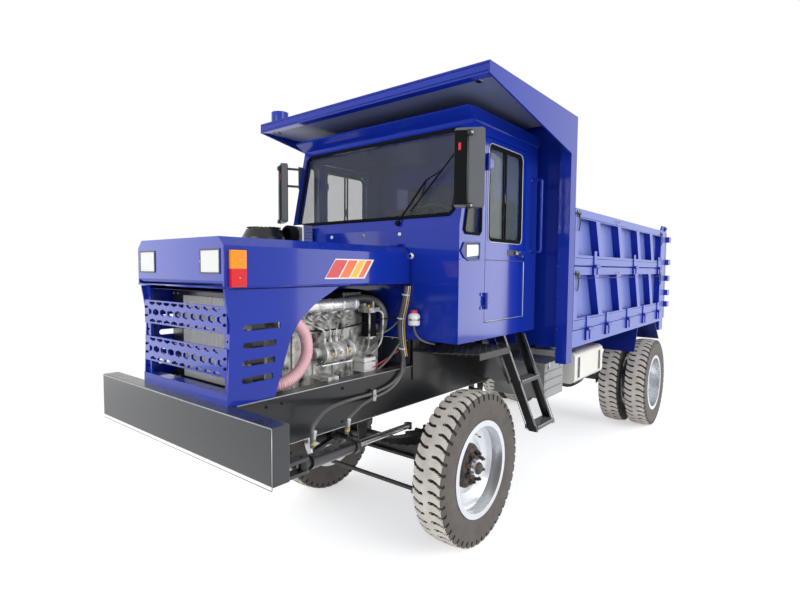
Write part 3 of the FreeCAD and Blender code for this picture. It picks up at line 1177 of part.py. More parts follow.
def radiator_hose():
    """The ribbed hose that loops back from the radiator's top port to its bottom one."""
    port_y = RADIATOR_BACK_Y + SEAT_GAP
    out_x = NOSE_HALF - SHEET - WATER_HOSE_RADIUS - 4
    low_z = RAIL_TOP + WATER_HOSE_RADIUS + 3
    points = [Vec(292, port_y, 1548), Vec(292, port_y + 70, 1548), Vec(out_x - 4, -1200, 1495),
              Vec(out_x, -1032, 1335), Vec(out_x, -1045, 1200), Vec(out_x - 4, -1230, low_z),
              Vec(292, port_y + 60, low_z), Vec(292, port_y, low_z)]
    return hose(points, WATER_HOSE_RADIUS)


def hoses():
    """The cable loom down the cab's front wall and the two steering hoses."""
    wall_y = CAB_FRONT_Y - 17
    x = RAIL_OUTER_X
    loom = hose([Vec(382, wall_y, 1645), Vec(362, wall_y, 1540), Vec(326, wall_y, 1420), Vec(336, wall_y, 1310),
                 Vec(366, wall_y - 10, 1200)], 17)
    first = hose([Vec(366, wall_y - 10, 1215), Vec(x + 22, -360, 1130), Vec(x + 14, -480, 1060), Vec(x + 14, -650, 1035),
                  Vec(x + 26, -880, 1040), Vec(x + 120, -1120, 1060), STEER_PORT_1 + Vec(0, 0, 90), STEER_PORT_1], 9)
    second = hose([Vec(380, wall_y - 30, 1215), Vec(x + 30, -410, 1090), Vec(x + 14, -500, 1030), Vec(x + 14, -650, 1008),
                   Vec(x + 60, -800, 1005), STEER_PORT_2 + Vec(0, 0, 70), STEER_PORT_2], 9)
    clamp = block(x, x + 28, -662, -638, 994, 1050)
    return fused([loom, first, second, clamp])


# ---- Bed ---------------------------------------------------------------------------
def bed_frame():
    """The bed's floor with its side rails, cross-members, stringers and rear posts."""
    rail_in = BED_HALF - BED_WALL - 22
    front = BED_FRONT_Y + BED_POST_LENGTH
    shapes = [block(-BED_HALF + BED_WALL + BED_SKIN, BED_HALF - BED_WALL - BED_SKIN, front, BED_REAR_Y,
                    BED_FLOOR_Z - 16, BED_FLOOR_Z)]
    side_rail = block(rail_in, BED_HALF, front, BED_REAR_Y, BED_SILL_Z, BED_FLOOR_Z)
    stringer = block(RAIL_OUTER_X - RAIL_FLANGE - 20, RAIL_OUTER_X - 20, front, BED_REAR_Y, RAIL_TOP + SWING_GAP,
                     BED_FLOOR_Z - 16)
    post = block(rail_in, BED_HALF, BED_REAR_Y - REAR_POST_LENGTH, BED_REAR_Y, POST_FOOT_Z, BED_TOP_Z)
    ear_low = fused([x_rod(EAR_X, EAR_X + EAR_WALL, TIP_PIVOT_Y, TIP_PIVOT_Z, 50),
                     block(EAR_X, EAR_X + EAR_WALL, TIP_PIVOT_Y - 50, TIP_PIVOT_Y + 49, TIP_PIVOT_Z, BED_FLOOR_Z - 16)])
    tail_ear = side_plate([(BED_REAR_Y - 130, BED_TOP_Z), (BED_REAR_Y, BED_TOP_Z),
                           (TAILGATE_HINGE_Y, TAILGATE_HINGE_Z - 30), (TAILGATE_HINGE_Y, TAILGATE_HINGE_Z + 30),
                           (BED_REAR_Y - 60, TAILGATE_HINGE_Z + 30)], TAIL_EAR_X, TAIL_EAR_X + 15)
    tail_tip = x_rod(TAIL_EAR_X, TAIL_EAR_X + 15, TAILGATE_HINGE_Y, TAILGATE_HINGE_Z, 30)
    tail_pin = x_rod(TAIL_EAR_X, TAIL_EAR_X + 42, TAILGATE_HINGE_Y, TAILGATE_HINGE_Z, 10)
    hinges = []
    for y in LOWER_HINGE_Y:
        hinges += gate_lugs(y, BED_FLOOR_Z, -90)
    clevis = [block(side * (HOIST_EYE_HALF + 8) - 6, side * (HOIST_EYE_HALF + 8) + 6, HOIST_EYE_Y - 50,
                    HOIST_EYE_Y + 50, HOIST_EYE_Z - 40, BED_FLOOR_Z - 16) for side in (-1, 1)]
    for shape in [side_rail, stringer, post, ear_low, tail_ear, tail_tip, tail_pin] + hinges:
        shapes += both_sides(shape)
    for y in BED_CROSS_Y:
        shapes.append(block(-rail_in, rail_in, y - 30, y + 30, BED_SILL_Z + 20, BED_FLOOR_Z - 16))
    solid = fused(shapes + clevis)
    for side in (-1, 1):
        x0, x1 = sorted((side * (EAR_X - 5), side * (EAR_X + EAR_WALL + 5)))
        solid = solid.cut(x_rod(x0, x1, TIP_PIVOT_Y, TIP_PIVOT_Z, TIP_PIN_RADIUS + PIN_CLEARANCE))
    return solid


def mudguards():
    """Slanted plates under the bed, ahead of and behind each wheel pair."""
    guards = []
    for top, foot in MUDGUARD_EDGES:
        outline = [top, (top[0] + 10, top[1]), (foot[0] + 10, foot[1]), foot]
        guards += both_sides(side_plate(outline, 560, BED_HALF - 2))
    return Part.makeCompound(guards)


def gate_lugs(y, pin_z, drop):
    """The fixed half of one gate hinge: a leaf, two barrels and the pin."""
    x = GATE_HINGE_X
    low, high = sorted((pin_z + drop, pin_z + math.copysign(8, drop)))
    shapes = []
    for start in (y - 52, y + 32):
        shapes.append(y_rod(start, start + 20, x, pin_z, GATE_BARREL_RADIUS))
        shapes.append(block(BED_HALF, x - 5, start, start + 20, low, pin_z))
    shapes.append(block(BED_HALF, BED_HALF + 10, y - 52, y + 52, low, high))
    shapes.append(y_rod(y - 52, y + 52, x, pin_z, GATE_PIN_RADIUS))
    return shapes


def gate_barrels(y, pin_z, rise):
    """The moving half of one gate hinge: a leaf and one barrel."""
    x = GATE_HINGE_X
    barrel = y_rod(y - 29, y + 29, x, pin_z, GATE_BARREL_RADIUS)
    neck = block(BED_HALF, x - 5, y - 29, y + 29, pin_z + 6, pin_z + 14)
    leaf = block(BED_HALF, BED_HALF + 10, y - 29, y + 29, pin_z + 10, pin_z + rise)
    return [barrel, neck, leaf]


def bed_front():
    """The bed's front wall between two posts, and the canopy welded to it."""
    back = BED_FRONT_Y + BED_POST_LENGTH
    post_in = BED_HALF - BED_WALL - 22
    post = block(post_in, BED_HALF, BED_FRONT_Y, back, POST_FOOT_Z, CANOPY_TOP_Z)
    wall = block(-post_in, post_in, back - 42, back, BED_SILL_Z, CANOPY_TOP_Z)
    under = CANOPY_TOP_Z - CANOPY_FASCIA
    plate = block(-BED_HALF, BED_HALF, CANOPY_FRONT_Y, back, CANOPY_TOP_Z - 10, CANOPY_TOP_Z)
    lip = block(-BED_HALF, BED_HALF, CANOPY_FRONT_Y, CANOPY_FRONT_Y + 12, under, CANOPY_TOP_Z)
    return_edge = block(-BED_HALF, BED_HALF, CANOPY_FRONT_Y, CANOPY_FRONT_Y + 60, under, under + 10)
    gusset = side_plate([(CANOPY_FRONT_Y, under), (BED_FRONT_Y, CANOPY_GUSSET_Z), (BED_FRONT_Y, CANOPY_TOP_Z),
                         (CANOPY_FRONT_Y, CANOPY_TOP_Z)], BED_HALF - 12, BED_HALF)
    beam = block(520, 560, CANOPY_FRONT_Y, back, under + 8, CANOPY_TOP_Z)
    pipe = z_rod(CANOPY_TOP_Z, PIPE_TOP_Z, -PIPE_X, PIPE_Y, 65)
    shapes = [wall, plate, lip, return_edge, pipe]
    for shape in (post, gusset, beam):
        shapes += both_sides(shape)
    for x in (-250, 250):
        shapes.append(block(x - 20, x + 20, CANOPY_FRONT_Y, back, under + 8, CANOPY_TOP_Z))
    return fused(shapes).cut(z_rod(under - 10, PIPE_TOP_Z + 5, -PIPE_X, PIPE_Y, 56))


def gate_panel(low, high, rail_low, rail_high):
    """One drop side: skin, rails, stiles and leaning ribs pressed out to the face."""
    front = BED_FRONT_Y + BED_POST_LENGTH + PANEL_GAP + 2
    back = BED_REAR_Y - REAR_POST_LENGTH - PANEL_GAP
    inner = BED_HALF - BED_WALL
    skin = block(inner - BED_SKIN, inner, front, back, low, high)
    shapes = [skin, block(inner, BED_HALF, front, back, low, low + rail_low),
              block(inner, BED_HALF, front, back, high - rail_high, high),
              block(inner, BED_HALF, front, front + 80, low, high),
              block(inner, BED_HALF, back - 45, back, low, high)]
    rib_top = high - rail_high
    drop = rib_top - (low + rail_low)
    for y in RIB_TOPS_Y:
        shift = RIB_LEAN * drop
        outline = [(y, rib_top), (y + RIB_WIDTH, rib_top), (y + RIB_WIDTH + shift, rib_top - drop),
                   (y + shift, rib_top - drop)]
        shapes.append(side_plate(outline, inner, BED_HALF))
    return shapes


def lower_gate():
    low = BED_FLOOR_Z + PANEL_GAP
    high = BED_SPLIT_Z - PANEL_GAP
    shapes = gate_panel(low, high, 85, 61)
    for y in LOWER_HINGE_Y:
        shapes += gate_barrels(y, BED_FLOOR_Z, 95)
    for y in UPPER_HINGE_Y:
        shapes += gate_lugs(y, BED_SPLIT_Z, -66)
    solid = fused(shapes)
    for y in LOWER_HINGE_Y:
        solid = solid.cut(y_rod(y - 31, y + 31, GATE_HINGE_X, BED_FLOOR_Z, GATE_PIN_RADIUS + PIN_CLEARANCE))
    return solid


def upper_gate():
    low = BED_SPLIT_Z + PANEL_GAP
    shapes = gate_panel(low, BED_TOP_Z, 77, 68)
    for y in UPPER_HINGE_Y:
        shapes += gate_barrels(y, BED_SPLIT_Z, 120)
    solid = fused(shapes)
    for y in UPPER_HINGE_Y:
        solid = solid.cut(y_rod(y - 31, y + 31, GATE_HINGE_X, BED_SPLIT_Z, GATE_PIN_RADIUS + PIN_CLEARANCE))
    return solid


def tailgate():
    """The top-hung tailgate: a panel with cross ribs and two hanging arms."""
    front = TAILGATE_FRONT_Y
    back = front + TAILGATE_DEPTH
    top = BED_TOP_Z - 15
    low = BED_SILL_Z + 24
    panel = block(-BED_HALF, BED_HALF, front, front + 20, low, top)
    frame = [block(-BED_HALF, BED_HALF, front + 20, back, low, low + 80),
             block(-BED_HALF, BED_HALF, front + 20, back, top - 70, top)]
    frame += both_sides(block(BED_HALF - 80, BED_HALF, front + 20, back, low, top))
    for z in TAILGATE_RIBS_Z:
        frame.append(block(-TAILGATE_RIB_HALF, TAILGATE_RIB_HALF, front, back + TAILGATE_RIB, z - 32, z + 32))
    arm_x = TAIL_EAR_X + 18
    arm = fused([x_rod(arm_x, arm_x + 15, TAILGATE_HINGE_Y, TAILGATE_HINGE_Z, 26),
                 block(arm_x, arm_x + 15, TAILGATE_HINGE_Y - 26, TAILGATE_HINGE_Y + 26, top - 10,
                       TAILGATE_HINGE_Z)])
    solid = fused([panel] + frame + both_sides(arm))
    for side in (-1, 1):
        x0, x1 = sorted((side * (arm_x - 5), side * (arm_x + 20)))
        solid = solid.cut(x_rod(x0, x1, TAILGATE_HINGE_Y, TAILGATE_HINGE_Z, 10 + PIN_CLEARANCE))
    return solid


def main():
    os.makedirs("parts", exist_ok=True)
    inner_x = REAR_OUTER_X - DUAL_SPACING
    left_knuckle = knuckle()
    save("chassis_frame", chassis_frame())
    save("spring_hangers", spring_hangers())
    save("cab_mounts", cab_mounts())
    save("tank_brackets", tank_brackets())
    save("front_bumper", front_bumper())
    save("front_axle", front_axle())
    save("rear_axle", rear_axle())
    save("knuckle_left", fused([left_knuckle, steering_arm()]))
    save("knuckle_right", mirrored(left_knuckle))
    save("tie_rod", tie_rod())
    save("steering_barrel", steering_barrel())
    save("steering_rod", steering_rod())
    save("hoist_barrel", hoist_barrel())
    save("hoist_rod", hoist_rod())
    front_tyre = tyre(FRONT_WHEEL_X, 0)
    rear_tyres = Part.makeCompound([tyre(inner_x, WHEELBASE), tyre(REAR_OUTER_X, WHEELBASE)])
    save("tyre_front_left", front_tyre)
    save("tyre_front_right", mirrored(front_tyre))
    save("tyres_rear_left", rear_tyres)
    save("tyres_rear_right", mirrored(rear_tyres))
    front_wheel = front_rim()
    rear_wheels = rear_rims()
    save("wheel_front_left", front_wheel)
    save("wheel_front_right", mirrored(front_wheel))
    save("wheels_rear_left", rear_wheels)
    save("wheels_rear_right", mirrored(rear_wheels))
    save("nose_shell", nose_shell())
    save("grille_bars", grille_bars())
    save("radiator", radiator())
    save("engine", engine())
    save("driveline", driveline())
    save("hood", hood())
    save("hood_lamps", hood_lamps())
    save("cab_shell", cab_shell())
    save("cab_roof", cab_roof())
    save("cab_glass", cab_glass())
    left_door = door()
    left_glass = door_glass()
    save("door_left", left_door)
    save("door_right", mirrored(left_door))
    save("door_glass_left", left_glass)
    save("door_glass_right", mirrored(left_glass))
    save("seats", seats())
    save("dashboard", dashboard())
    save("mirrors", Part.makeCompound(both_sides(mirror())))
    save("fenders", Part.makeCompound(both_sides(fender())))
    save("ladders", Part.makeCompound(both_sides(ladder())))
    save("side_boxes", Part.makeCompound(both_sides(battery_box())))
    save("side_tanks", Part.makeCompound(both_sides(side_tank())))
    save("air_cleaner", air_cleaner())
    save("exhaust", exhaust())
    save("radiator_hose", radiator_hose())
    save("hoses", hoses())
    save("bed_frame", bed_frame())
    save("bed_front", bed_front())
    save("rear_mudguards", mudguards())
    left_lower = lower_gate()
    left_upper = upper_gate()
    save("gate_lower_left", left_lower)
    save("gate_lower_right", mirrored(left_lower))
    save("gate_upper_left", left_upper)
    save("gate_upper_right", mirrored(left_upper))
    save("tailgate", tailgate())


main()
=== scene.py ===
import logging
import math
from dataclasses import dataclass, field
from enum import Enum
from typing import Any, Callable, Iterable, Sequence

import bmesh
import bpy
from mathutils import Matrix, Vector


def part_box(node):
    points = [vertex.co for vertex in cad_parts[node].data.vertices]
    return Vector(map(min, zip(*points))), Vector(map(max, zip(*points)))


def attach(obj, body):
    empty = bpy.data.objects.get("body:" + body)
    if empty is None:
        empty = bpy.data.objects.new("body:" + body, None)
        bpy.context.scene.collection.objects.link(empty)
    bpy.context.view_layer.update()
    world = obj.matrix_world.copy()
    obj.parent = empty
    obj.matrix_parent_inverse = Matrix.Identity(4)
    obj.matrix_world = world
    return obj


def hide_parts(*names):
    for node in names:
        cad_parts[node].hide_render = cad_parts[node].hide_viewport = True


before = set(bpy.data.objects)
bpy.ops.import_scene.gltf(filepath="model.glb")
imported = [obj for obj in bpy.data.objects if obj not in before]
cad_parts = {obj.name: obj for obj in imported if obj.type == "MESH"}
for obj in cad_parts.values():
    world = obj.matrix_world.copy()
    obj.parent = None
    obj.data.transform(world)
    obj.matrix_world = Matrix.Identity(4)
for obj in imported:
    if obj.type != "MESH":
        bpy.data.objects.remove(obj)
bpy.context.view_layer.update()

LOG = logging.getLogger("dump_truck")
MM = 0.001
Socket = bpy.types.NodeSocket
Span = tuple[float, float]
Place = tuple[float, float, float]
OUT = Vector((1, 0, 0))
AHEAD = Vector((0, -1, 0))
BACK = Vector((0, 1, 0))
UP = Vector((0, 0, 1))
DOWN = Vector((0, 0, -1))


# ---------------------------------------------------------------- places
def middle(node: str) -> Vector:
    """Middle of a CAD node's box, in metres."""
    low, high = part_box(node)
    return (low + high) / 2


AXLE_Y = middle("tyre_front_left").y


def at(x: float, y: float, z: float) -> Vector:
    """Turns millimetres from the ground under the front axle into the frame's metres.

    Args:
        x: distance to the truck's left.
        y: distance behind the front axle.
        z: height above the ground.

    Returns:
        The place in the frame.
    """
    return Vector((x * MM, AXLE_Y + y * MM, z * MM))


def route(*places: Place) -> list[Vector]:
    """The points of a path, from places in millimetres."""
    return [at(*place) for place in places]


def straight(x: float | Place, y: float | Place, z: float | Place) -> list[Vector]:
    """The points of a straight run along one axis.

    Args:
        x: distance to the left, or its three steps.
        y: distance behind the front axle, or its three steps.
        z: height above the ground, or its three steps.

    Returns:
        Three points, with the two plain numbers held.
    """
    return route(*zip(*(part if isinstance(part, tuple) else (part,) * 3 for part in (x, y, z))))


def circle(count: int, first: float = 0.0) -> list[Span]:
    """Equal steps round a unit circle.

    Args:
        count: how many steps there are.
        first: where the first one stands, counted in steps.

    Returns:
        The cosine and the sine of each step.
    """
    turns = [math.tau * (index + first) / count for index in range(count)]
    return [(math.cos(turn), math.sin(turn)) for turn in turns]


def rounded(line: Sequence[Vector], rounds: int) -> list[Vector]:
    """Cuts the corners of a path, again and again.

    Args:
        line: the path's points.
        rounds: how many times its corners are cut.

    Returns:
        The rounder path, with the same ends.
    """
    made = list(line)
    for _ in range(rounds):
        cut = [made[0]]
        for first, second in zip(made, made[1:]):
            cut += [first.lerp(second, 0.25), first.lerp(second, 0.75)]
        made = cut + [made[-1]]
    return made


class Side(Enum):
    """The truck's two sides, as the sign of X."""

    LEFT = 1
    RIGHT = -1

    @property
    def word(self) -> str:
        """The side's name as the CAD bodies spell it."""
        return self.name.lower()

    @property
    def out(self) -> Vector:
        """The way out from the truck on this side."""
        return Vector((self.value, 0, 0))


# ---------------------------------------------------------------- colours and nodes
def linear(code: str) -> tuple[float, float, float, float]:
    """Turns an sRGB hex colour into the linear values that a shader wants.

    Args:
        code: six hex digits, with or without a leading hash.

    Returns:
        Linear red, green, blue and an alpha of one.
    """
    digits = code.lstrip("#")
    channels = [int(digits[index:index + 2], 16) / 255 for index in (0, 2, 4)]
    made = [c / 12.92 if c <= 0.04045 else ((c + 0.055) / 1.055) ** 2.4 for c in channels]
    return (made[0], made[1], made[2], 1.0)


def fresh_tree(owner: bpy.types.ID) -> bpy.types.NodeTree:
    """Gives a material or a world an empty node tree."""
    owner.use_nodes = True
    owner.node_tree.nodes.clear()
    return owner.node_tree


def add_node(tree: bpy.types.NodeTree, kind: str, inputs: dict[Any, Any] | None = None,
             **settings: Any) -> bpy.types.Node:
    """Adds one node, sets its properties and fills or links its inputs.

    Args:
        tree: the node tree that gets the node.
        kind: the node's Blender type name.
        inputs: socket name or number to a value, or to an output socket to link from.
        settings: properties of the node.

    Returns:
        The new node.
    """
    node = tree.nodes.new(kind)
    for name, value in settings.items():
        setattr(node, name, value)
    for key, value in (inputs or {}).items():
        if isinstance(value, bpy.types.NodeSocket):
            tree.links.new(value, node.inputs[key])
        else:
            node.inputs[key].default_value = value
    return node


@dataclass
class Pattern:
    """The node tree of one finish, with the steps that the finishes share."""

    tree: bpy.types.NodeTree
    shader: bpy.types.Node

    def noise(self, size_mm: float, detail: float, rough: float = 0.5) -> Socket:
        """Noise with patches of about a given size in millimetres."""
        return self.texture("ShaderNodeTexNoise", size_mm, {"Detail": detail, "Roughness": rough})

    def texture(self, kind: str, size_mm: float, inputs: dict[str, float] | None = None) -> Socket:
        """A texture in the object's own coordinates.

        Args:
            kind: the texture node's Blender type name.
            size_mm: the size that one repeat has, in millimetres.
            inputs: its other values.

        Returns:
            Its first output.
        """
        place = add_node(self.tree, "ShaderNodeTexCoord").outputs["Object"]
        values = {"Vector": place, "Scale": 1 / (size_mm * MM), **(inputs or {})}
        return add_node(self.tree, kind, values).outputs[0]

    def spread(self, value: Socket, span: Span = (0.0, 1.0), to: Span = (0.0, 1.0)) -> Socket:
        """Maps one span of values to another, and clamps what lies outside."""
        return add_node(self.tree, "ShaderNodeMapRange",
                        {"Value": value, "From Min": span[0], "From Max": span[1], "To Min": to[0],
                         "To Max": to[1]}).outputs[0]

    def part(self, vector: Socket, axis: str) -> Socket:
        """The part of a vector along X, Y or Z."""
        return add_node(self.tree, "ShaderNodeSeparateXYZ", {"Vector": vector}).outputs[axis]

    def level(self, span: Span, share: float = 1.0) -> Socket:
        """How level a face lies, mapped from a span of its normal's Z."""
        up = self.part(add_node(self.tree, "ShaderNodeNewGeometry").outputs["Normal"], "Z")
        return self.spread(up, span, (0.0, share))

    def times(self, first: Socket, second: Socket) -> Socket:
        """The product of two values."""
        return add_node(self.tree, "ShaderNodeMath", {0: first, 1: second}, operation="MULTIPLY").outputs[0]

    def blend(self, share: Socket, first: Any, second: Any) -> Socket:
        """Mixes two colours, each a socket or a linear colour."""
        return add_node(self.tree, "ShaderNodeMix", {"Factor": share, "A": first, "B": second},
                        data_type="RGBA").outputs["Result"]

    def relief(self, height: Socket, strength: float, distance: float, under: Socket | None = None) -> Socket:
        """Bumps the surface.

        Args:
            height: the pattern that stands out.
            strength: how strong it is.
            distance: how far it stands out, in metres.
            under: the coarser bump that this one lies on.

        Returns:
            The bumped normal, which the shader has too.
        """
        inputs = {"Height": height, "Strength": strength, "Distance": distance}
        if under:
            inputs["Normal"] = under
        bump = add_node(self.tree, "ShaderNodeBump", inputs).outputs[0]
        self.feed("Normal", bump)
        return bump

    def feed(self, name: str, value: Socket | float) -> None:
        """Links a socket or writes a number to one of the shader's inputs."""
        if isinstance(value, Socket):
            self.tree.links.new(value, self.shader.inputs[name])
        else:
            self.shader.inputs[name].default_value = value


@dataclass(frozen=True)
class Finish:
    """What every finish has: a name, a base colour and a shine."""

    name: str
    colour: str
    roughness: float = 0.5
    metallic: float = 0.0
    gloss: float = 0.5

    def build(self) -> bpy.types.Material:
        """Makes the material once and hands out the same one after that."""
        made = bpy.data.materials.get(self.name)
        if made:
            return made
        material = bpy.data.materials.new(self.name)
        tree = fresh_tree(material)
        shader = add_node(tree, "ShaderNodeBsdfPrincipled",
                          {"Base Color": linear(self.colour), "Roughness": self.roughness,
                           "Metallic": self.metallic, "Specular IOR Level": self.gloss})
        add_node(tree, "ShaderNodeOutputMaterial", {"Surface": shader.outputs[0]})
        self.surface(Pattern(tree, shader))
        return material

    def surface(self, pattern: Pattern) -> None:
        """Adds the pattern of this finish to its shader."""

    def mottle(self, pattern: Pattern, share: Socket, over: str) -> None:
        """Lays another sRGB colour over the base by a share."""
        pattern.feed("Base Color", pattern.blend(share, linear(self.colour), linear(over)))

    def dull(self, pattern: Pattern, patch: Socket, change: Span, span: Span = (0.0, 1.0)) -> None:
        """Varies the roughness about its own value, by patches."""
        low, high = (self.roughness + step for step in change)
        pattern.feed("Roughness", pattern.spread(patch, span, (low, high)))


@dataclass(frozen=True)
class Enamel(Finish):
    """Sprayed enamel on steel plate: a clear gloss over a slightly clouded colour, with
    orange peel in the gloss, dust on level faces and painted light that lightens those that face sideways."""

    dust: str = "#8d8a86"
    dust_share: float = 0.25
    dusty: float = 0.75
    cloud_mm: float = 420.0
    peel_mm: float = 7.0
    wave: float = 0.2
    wave_mm: float = 260.0
    coat: float = 0.35
    chalk: str = "#aab8ee"
    chalk_share: float = 0.0

    def chalked(self, pattern: Pattern, paint: Socket) -> Socket:
        """Lightens the paint to a pale tone on the faces that look out sideways: painted light.

        Args:
            pattern: the pattern that gets it.
            paint: the fresh paint's colour.

        Returns:
            The socket with the lightened colour.
        """
        # Painted light: the faces that look sideways are lightened towards a pale lilac, as if the light fell on
        # them.
        if not self.chalk_share:
            return paint
        across = pattern.part(add_node(pattern.tree, "ShaderNodeTexCoord").outputs["Normal"], "X")
        out = add_node(pattern.tree, "ShaderNodeMath", {0: across}, operation="ABSOLUTE").outputs[0]
        return pattern.blend(pattern.spread(out, (0.75, 0.98), (0.0, self.chalk_share)), paint, linear(self.chalk))

    def surface(self, pattern: Pattern) -> None:
        """Mixes clouded paint and dust, and bumps the gloss with orange peel."""
        base = linear(self.colour)[:3]
        dark, light = (tuple(min(1.0, part * tone) for part in base) + (1.0,) for tone in (0.86, 1.14))
        paint = pattern.blend(pattern.noise(self.cloud_mm, 5.0), dark, light)
        specks = pattern.spread(pattern.noise(35.0, 8.0, 0.7), (0.42, 0.68))
        share = pattern.times(pattern.level((0.6, 1.0), self.dust_share), specks)
        pattern.feed("Base Color", pattern.blend(share, self.chalked(pattern, paint), linear(self.dust)))
        pattern.feed("Roughness", pattern.spread(share, to=(self.roughness, self.dusty)))
        waves = pattern.relief(pattern.noise(self.wave_mm, 1.0), self.wave, 0.004)
        pattern.relief(pattern.noise(self.peel_mm, 2.0), 0.06, 0.0006, waves)
        pattern.feed("Coat Weight", self.coat)
        pattern.feed("Coat Roughness", 0.06)


@dataclass(frozen=True)
class Worn(Finish):
    """Black enamel on a boarding ladder, rubbed to bright steel where boots tread."""

    bare: str = "#b9bcc0"

    def surface(self, pattern: Pattern) -> None:
        """Bares the steel where boots rub: on upward faces and in streaks."""
        scuff = pattern.noise(26.0, 8.0, 0.7)
        share = pattern.times(pattern.level((0.55, 0.95)), pattern.spread(scuff, (0.36, 0.52)))
        self.mottle(pattern, share, self.bare)
        pattern.feed("Metallic", share)
        pattern.relief(scuff, 0.2, 0.001)
        pattern.feed("Coat Weight", 0.3)


@dataclass(frozen=True)
class CastIron(Finish):
    """Sand-cast iron or a rough forging: a pitted skin with oily dark patches."""

    grime: str = "#4c4640"
    grit_mm: float = 4.0

    def surface(self, pattern: Pattern) -> None:
        """Mixes grime over the base and pits the surface."""
        patch = pattern.noise(60.0, 7.0)
        self.mottle(pattern, pattern.spread(patch, (0.42, 0.7)), self.grime)
        pattern.relief(pattern.noise(self.grit_mm, 4.0), 0.45, 0.0012)
        self.dull(pattern, patch, (-0.12, 0.2))


@dataclass(frozen=True)
class Rubber(Finish):
    """Moulded rubber: a matt skin, paled or browned by road dust."""

    dust: str = "#6d645b"
    dust_share: float = 0.5
    speck_mm: float = 18.0

    def surface(self, pattern: Pattern) -> None:
        """Dusts the rubber in uneven patches and roughens its skin."""
        share = pattern.spread(pattern.noise(90.0, 9.0, 0.65), (0.35, 0.7), (0.0, self.dust_share))
        self.mottle(pattern, share, self.dust)
        pattern.relief(pattern.noise(self.speck_mm, 6.0), 0.3, 0.002)


@dataclass(frozen=True)
class BareMetal(Finish):
    """Plated or brushed steel: fine scratches that spread the gloss, with dull smears."""

    scratch_mm: float = 1.5
    smear: float = 0.15

    def surface(self, pattern: Pattern) -> None:
        """Varies the roughness in smears and adds fine scratches."""
        self.dull(pattern, pattern.noise(80.0, 8.0), (0.0, self.smear), (0.3, 0.7))
        pattern.relief(pattern.noise(self.scratch_mm, 2.0), 0.08, 0.0004)


@dataclass(frozen=True)
class Moulding(Finish):
    """Moulded plastic or vinyl with a fine grain pressed into it."""

    grain_mm: float = 3.0
    grain: float = 0.15

    def surface(self, pattern: Pattern) -> None:
        """Presses a cell-like grain into the surface."""
        pattern.relief(pattern.texture("ShaderNodeTexVoronoi", self.grain_mm), self.grain, 0.0005)
        self.dull(pattern, pattern.noise(70.0, 6.0), (-0.08, 0.12))


@dataclass(frozen=True)
class Pane(Finish):
    """Float glass: see-through, with a faint film of dust."""

    clear: float = 0.9
    film: float = 0.03

    def surface(self, pattern: Pattern) -> None:
        """Makes the pane clear and roughens it a little where dust lies."""
        pattern.feed("Alpha", 1.0 - self.clear)
        pattern.feed("IOR", 1.52)
        self.dull(pattern, pattern.noise(150.0, 6.0), (0.0, self.film), (0.4, 0.7))


# The truck's finishes, each named for what the real one is; some names also say the painted light or shade that
# they carry.
BLUE_ENAMEL = Enamel("royal_blue_enamel", "#132f9e", roughness=0.16, gloss=0.12, dust_share=0.2, coat=0.6)
# The gates' enamel lightens its sideways faces as painted light.
SIDE_LIT_BLUE_ENAMEL = Enamel("chalked_blue_enamel", "#132f9e", roughness=0.3, gloss=0.15, dust_share=0.2, coat=0.22,
                     chalk_share=0.36)
# Pale enamel: on the canopy lining its pale tone is painted light, standing in for light bounced up under the
# canopy.
LINING_ENAMEL = Enamel("pale_lining_and_louvre_enamel", "#6c7590", roughness=0.4, gloss=0.3, dust_share=0.0, coat=0.1)
UNDERCOAT = Enamel("dark_undercoat", "#363b4c", roughness=0.42, gloss=0.3, dust_share=0.2, coat=0.1)
# A darker copy of the blue enamel: painted shade for blue parts that lie in shadow, in recesses and in joints.
SHADED_BLUE_ENAMEL = Enamel("shaded_blue_enamel", "#172778", roughness=0.28, gloss=0.3, dust_share=0.25, coat=0.1)
CHASSIS_ENAMEL = Enamel("black_chassis_enamel", "#1b1c1e", roughness=0.3, gloss=0.4, dust_share=0.5, coat=0.15)
WORN_BLACK_ENAMEL = Worn("worn_black_enamel", "#16181f", roughness=0.3, bare="#b9bcc0")
BUMPER_ENAMEL = Enamel("dark_grey_enamel", "#26292d", roughness=0.26, dust="#4c4a47", dust_share=0.3, coat=0.4)
SILVER_ENAMEL = Enamel("silver_wheel_enamel", "#dde0e3", roughness=0.2, metallic=0.8, dust="#a39c93",
                       dust_share=0.3, coat=0.2, wave=0.03)
GREY_ENAMEL = Enamel("light_grey_enamel", "#8f918f", roughness=0.4, dust_share=0.5)
CREAM_ENAMEL = Enamel("cream_tank_enamel", "#e8e4d8", roughness=0.3, dust_share=0.35)
BLACK_FORGING = CastIron("black_forging", "#1b1b1d", roughness=0.45, grime="#37322d")
HUB_FORGING = CastIron("rusty_hub_forging", "#2b2826", roughness=0.5, grime="#6a5240")
ENGINE_CASTING = CastIron("engine_casting", "#dbdad3", roughness=0.4, grime="#2b2926", metallic=0.35)
SAND_CAST_ALUMINIUM = CastIron("sand_cast_aluminium", "#e4e4e2", roughness=0.25, grime="#b9b8b3", metallic=0.7,
                               grit_mm=3.0)
HOT_PIPE = CastIron("heat_stained_pipe", "#4a4038", roughness=0.6, grime="#6d4a33", metallic=0.5)
# The tread rubber's pale base is partly dust and partly painted light on the tread tops; the groove rubber is
# darker than the walls as painted shade in the grooves.
TREAD_RUBBER_PAINTED_LIGHT = Rubber("worn_tread_rubber", "#c9c1b6", roughness=0.85, dust="#ece5da", dust_share=0.8)
GROOVE_RUBBER_PAINTED_SHADE = Rubber("groove_rubber_painted_shade", "#34302c", roughness=0.9, dust="#4d463e")
WALL_RUBBER = Rubber("sidewall_rubber", "#554f4a", roughness=0.7, dust="#746b63")
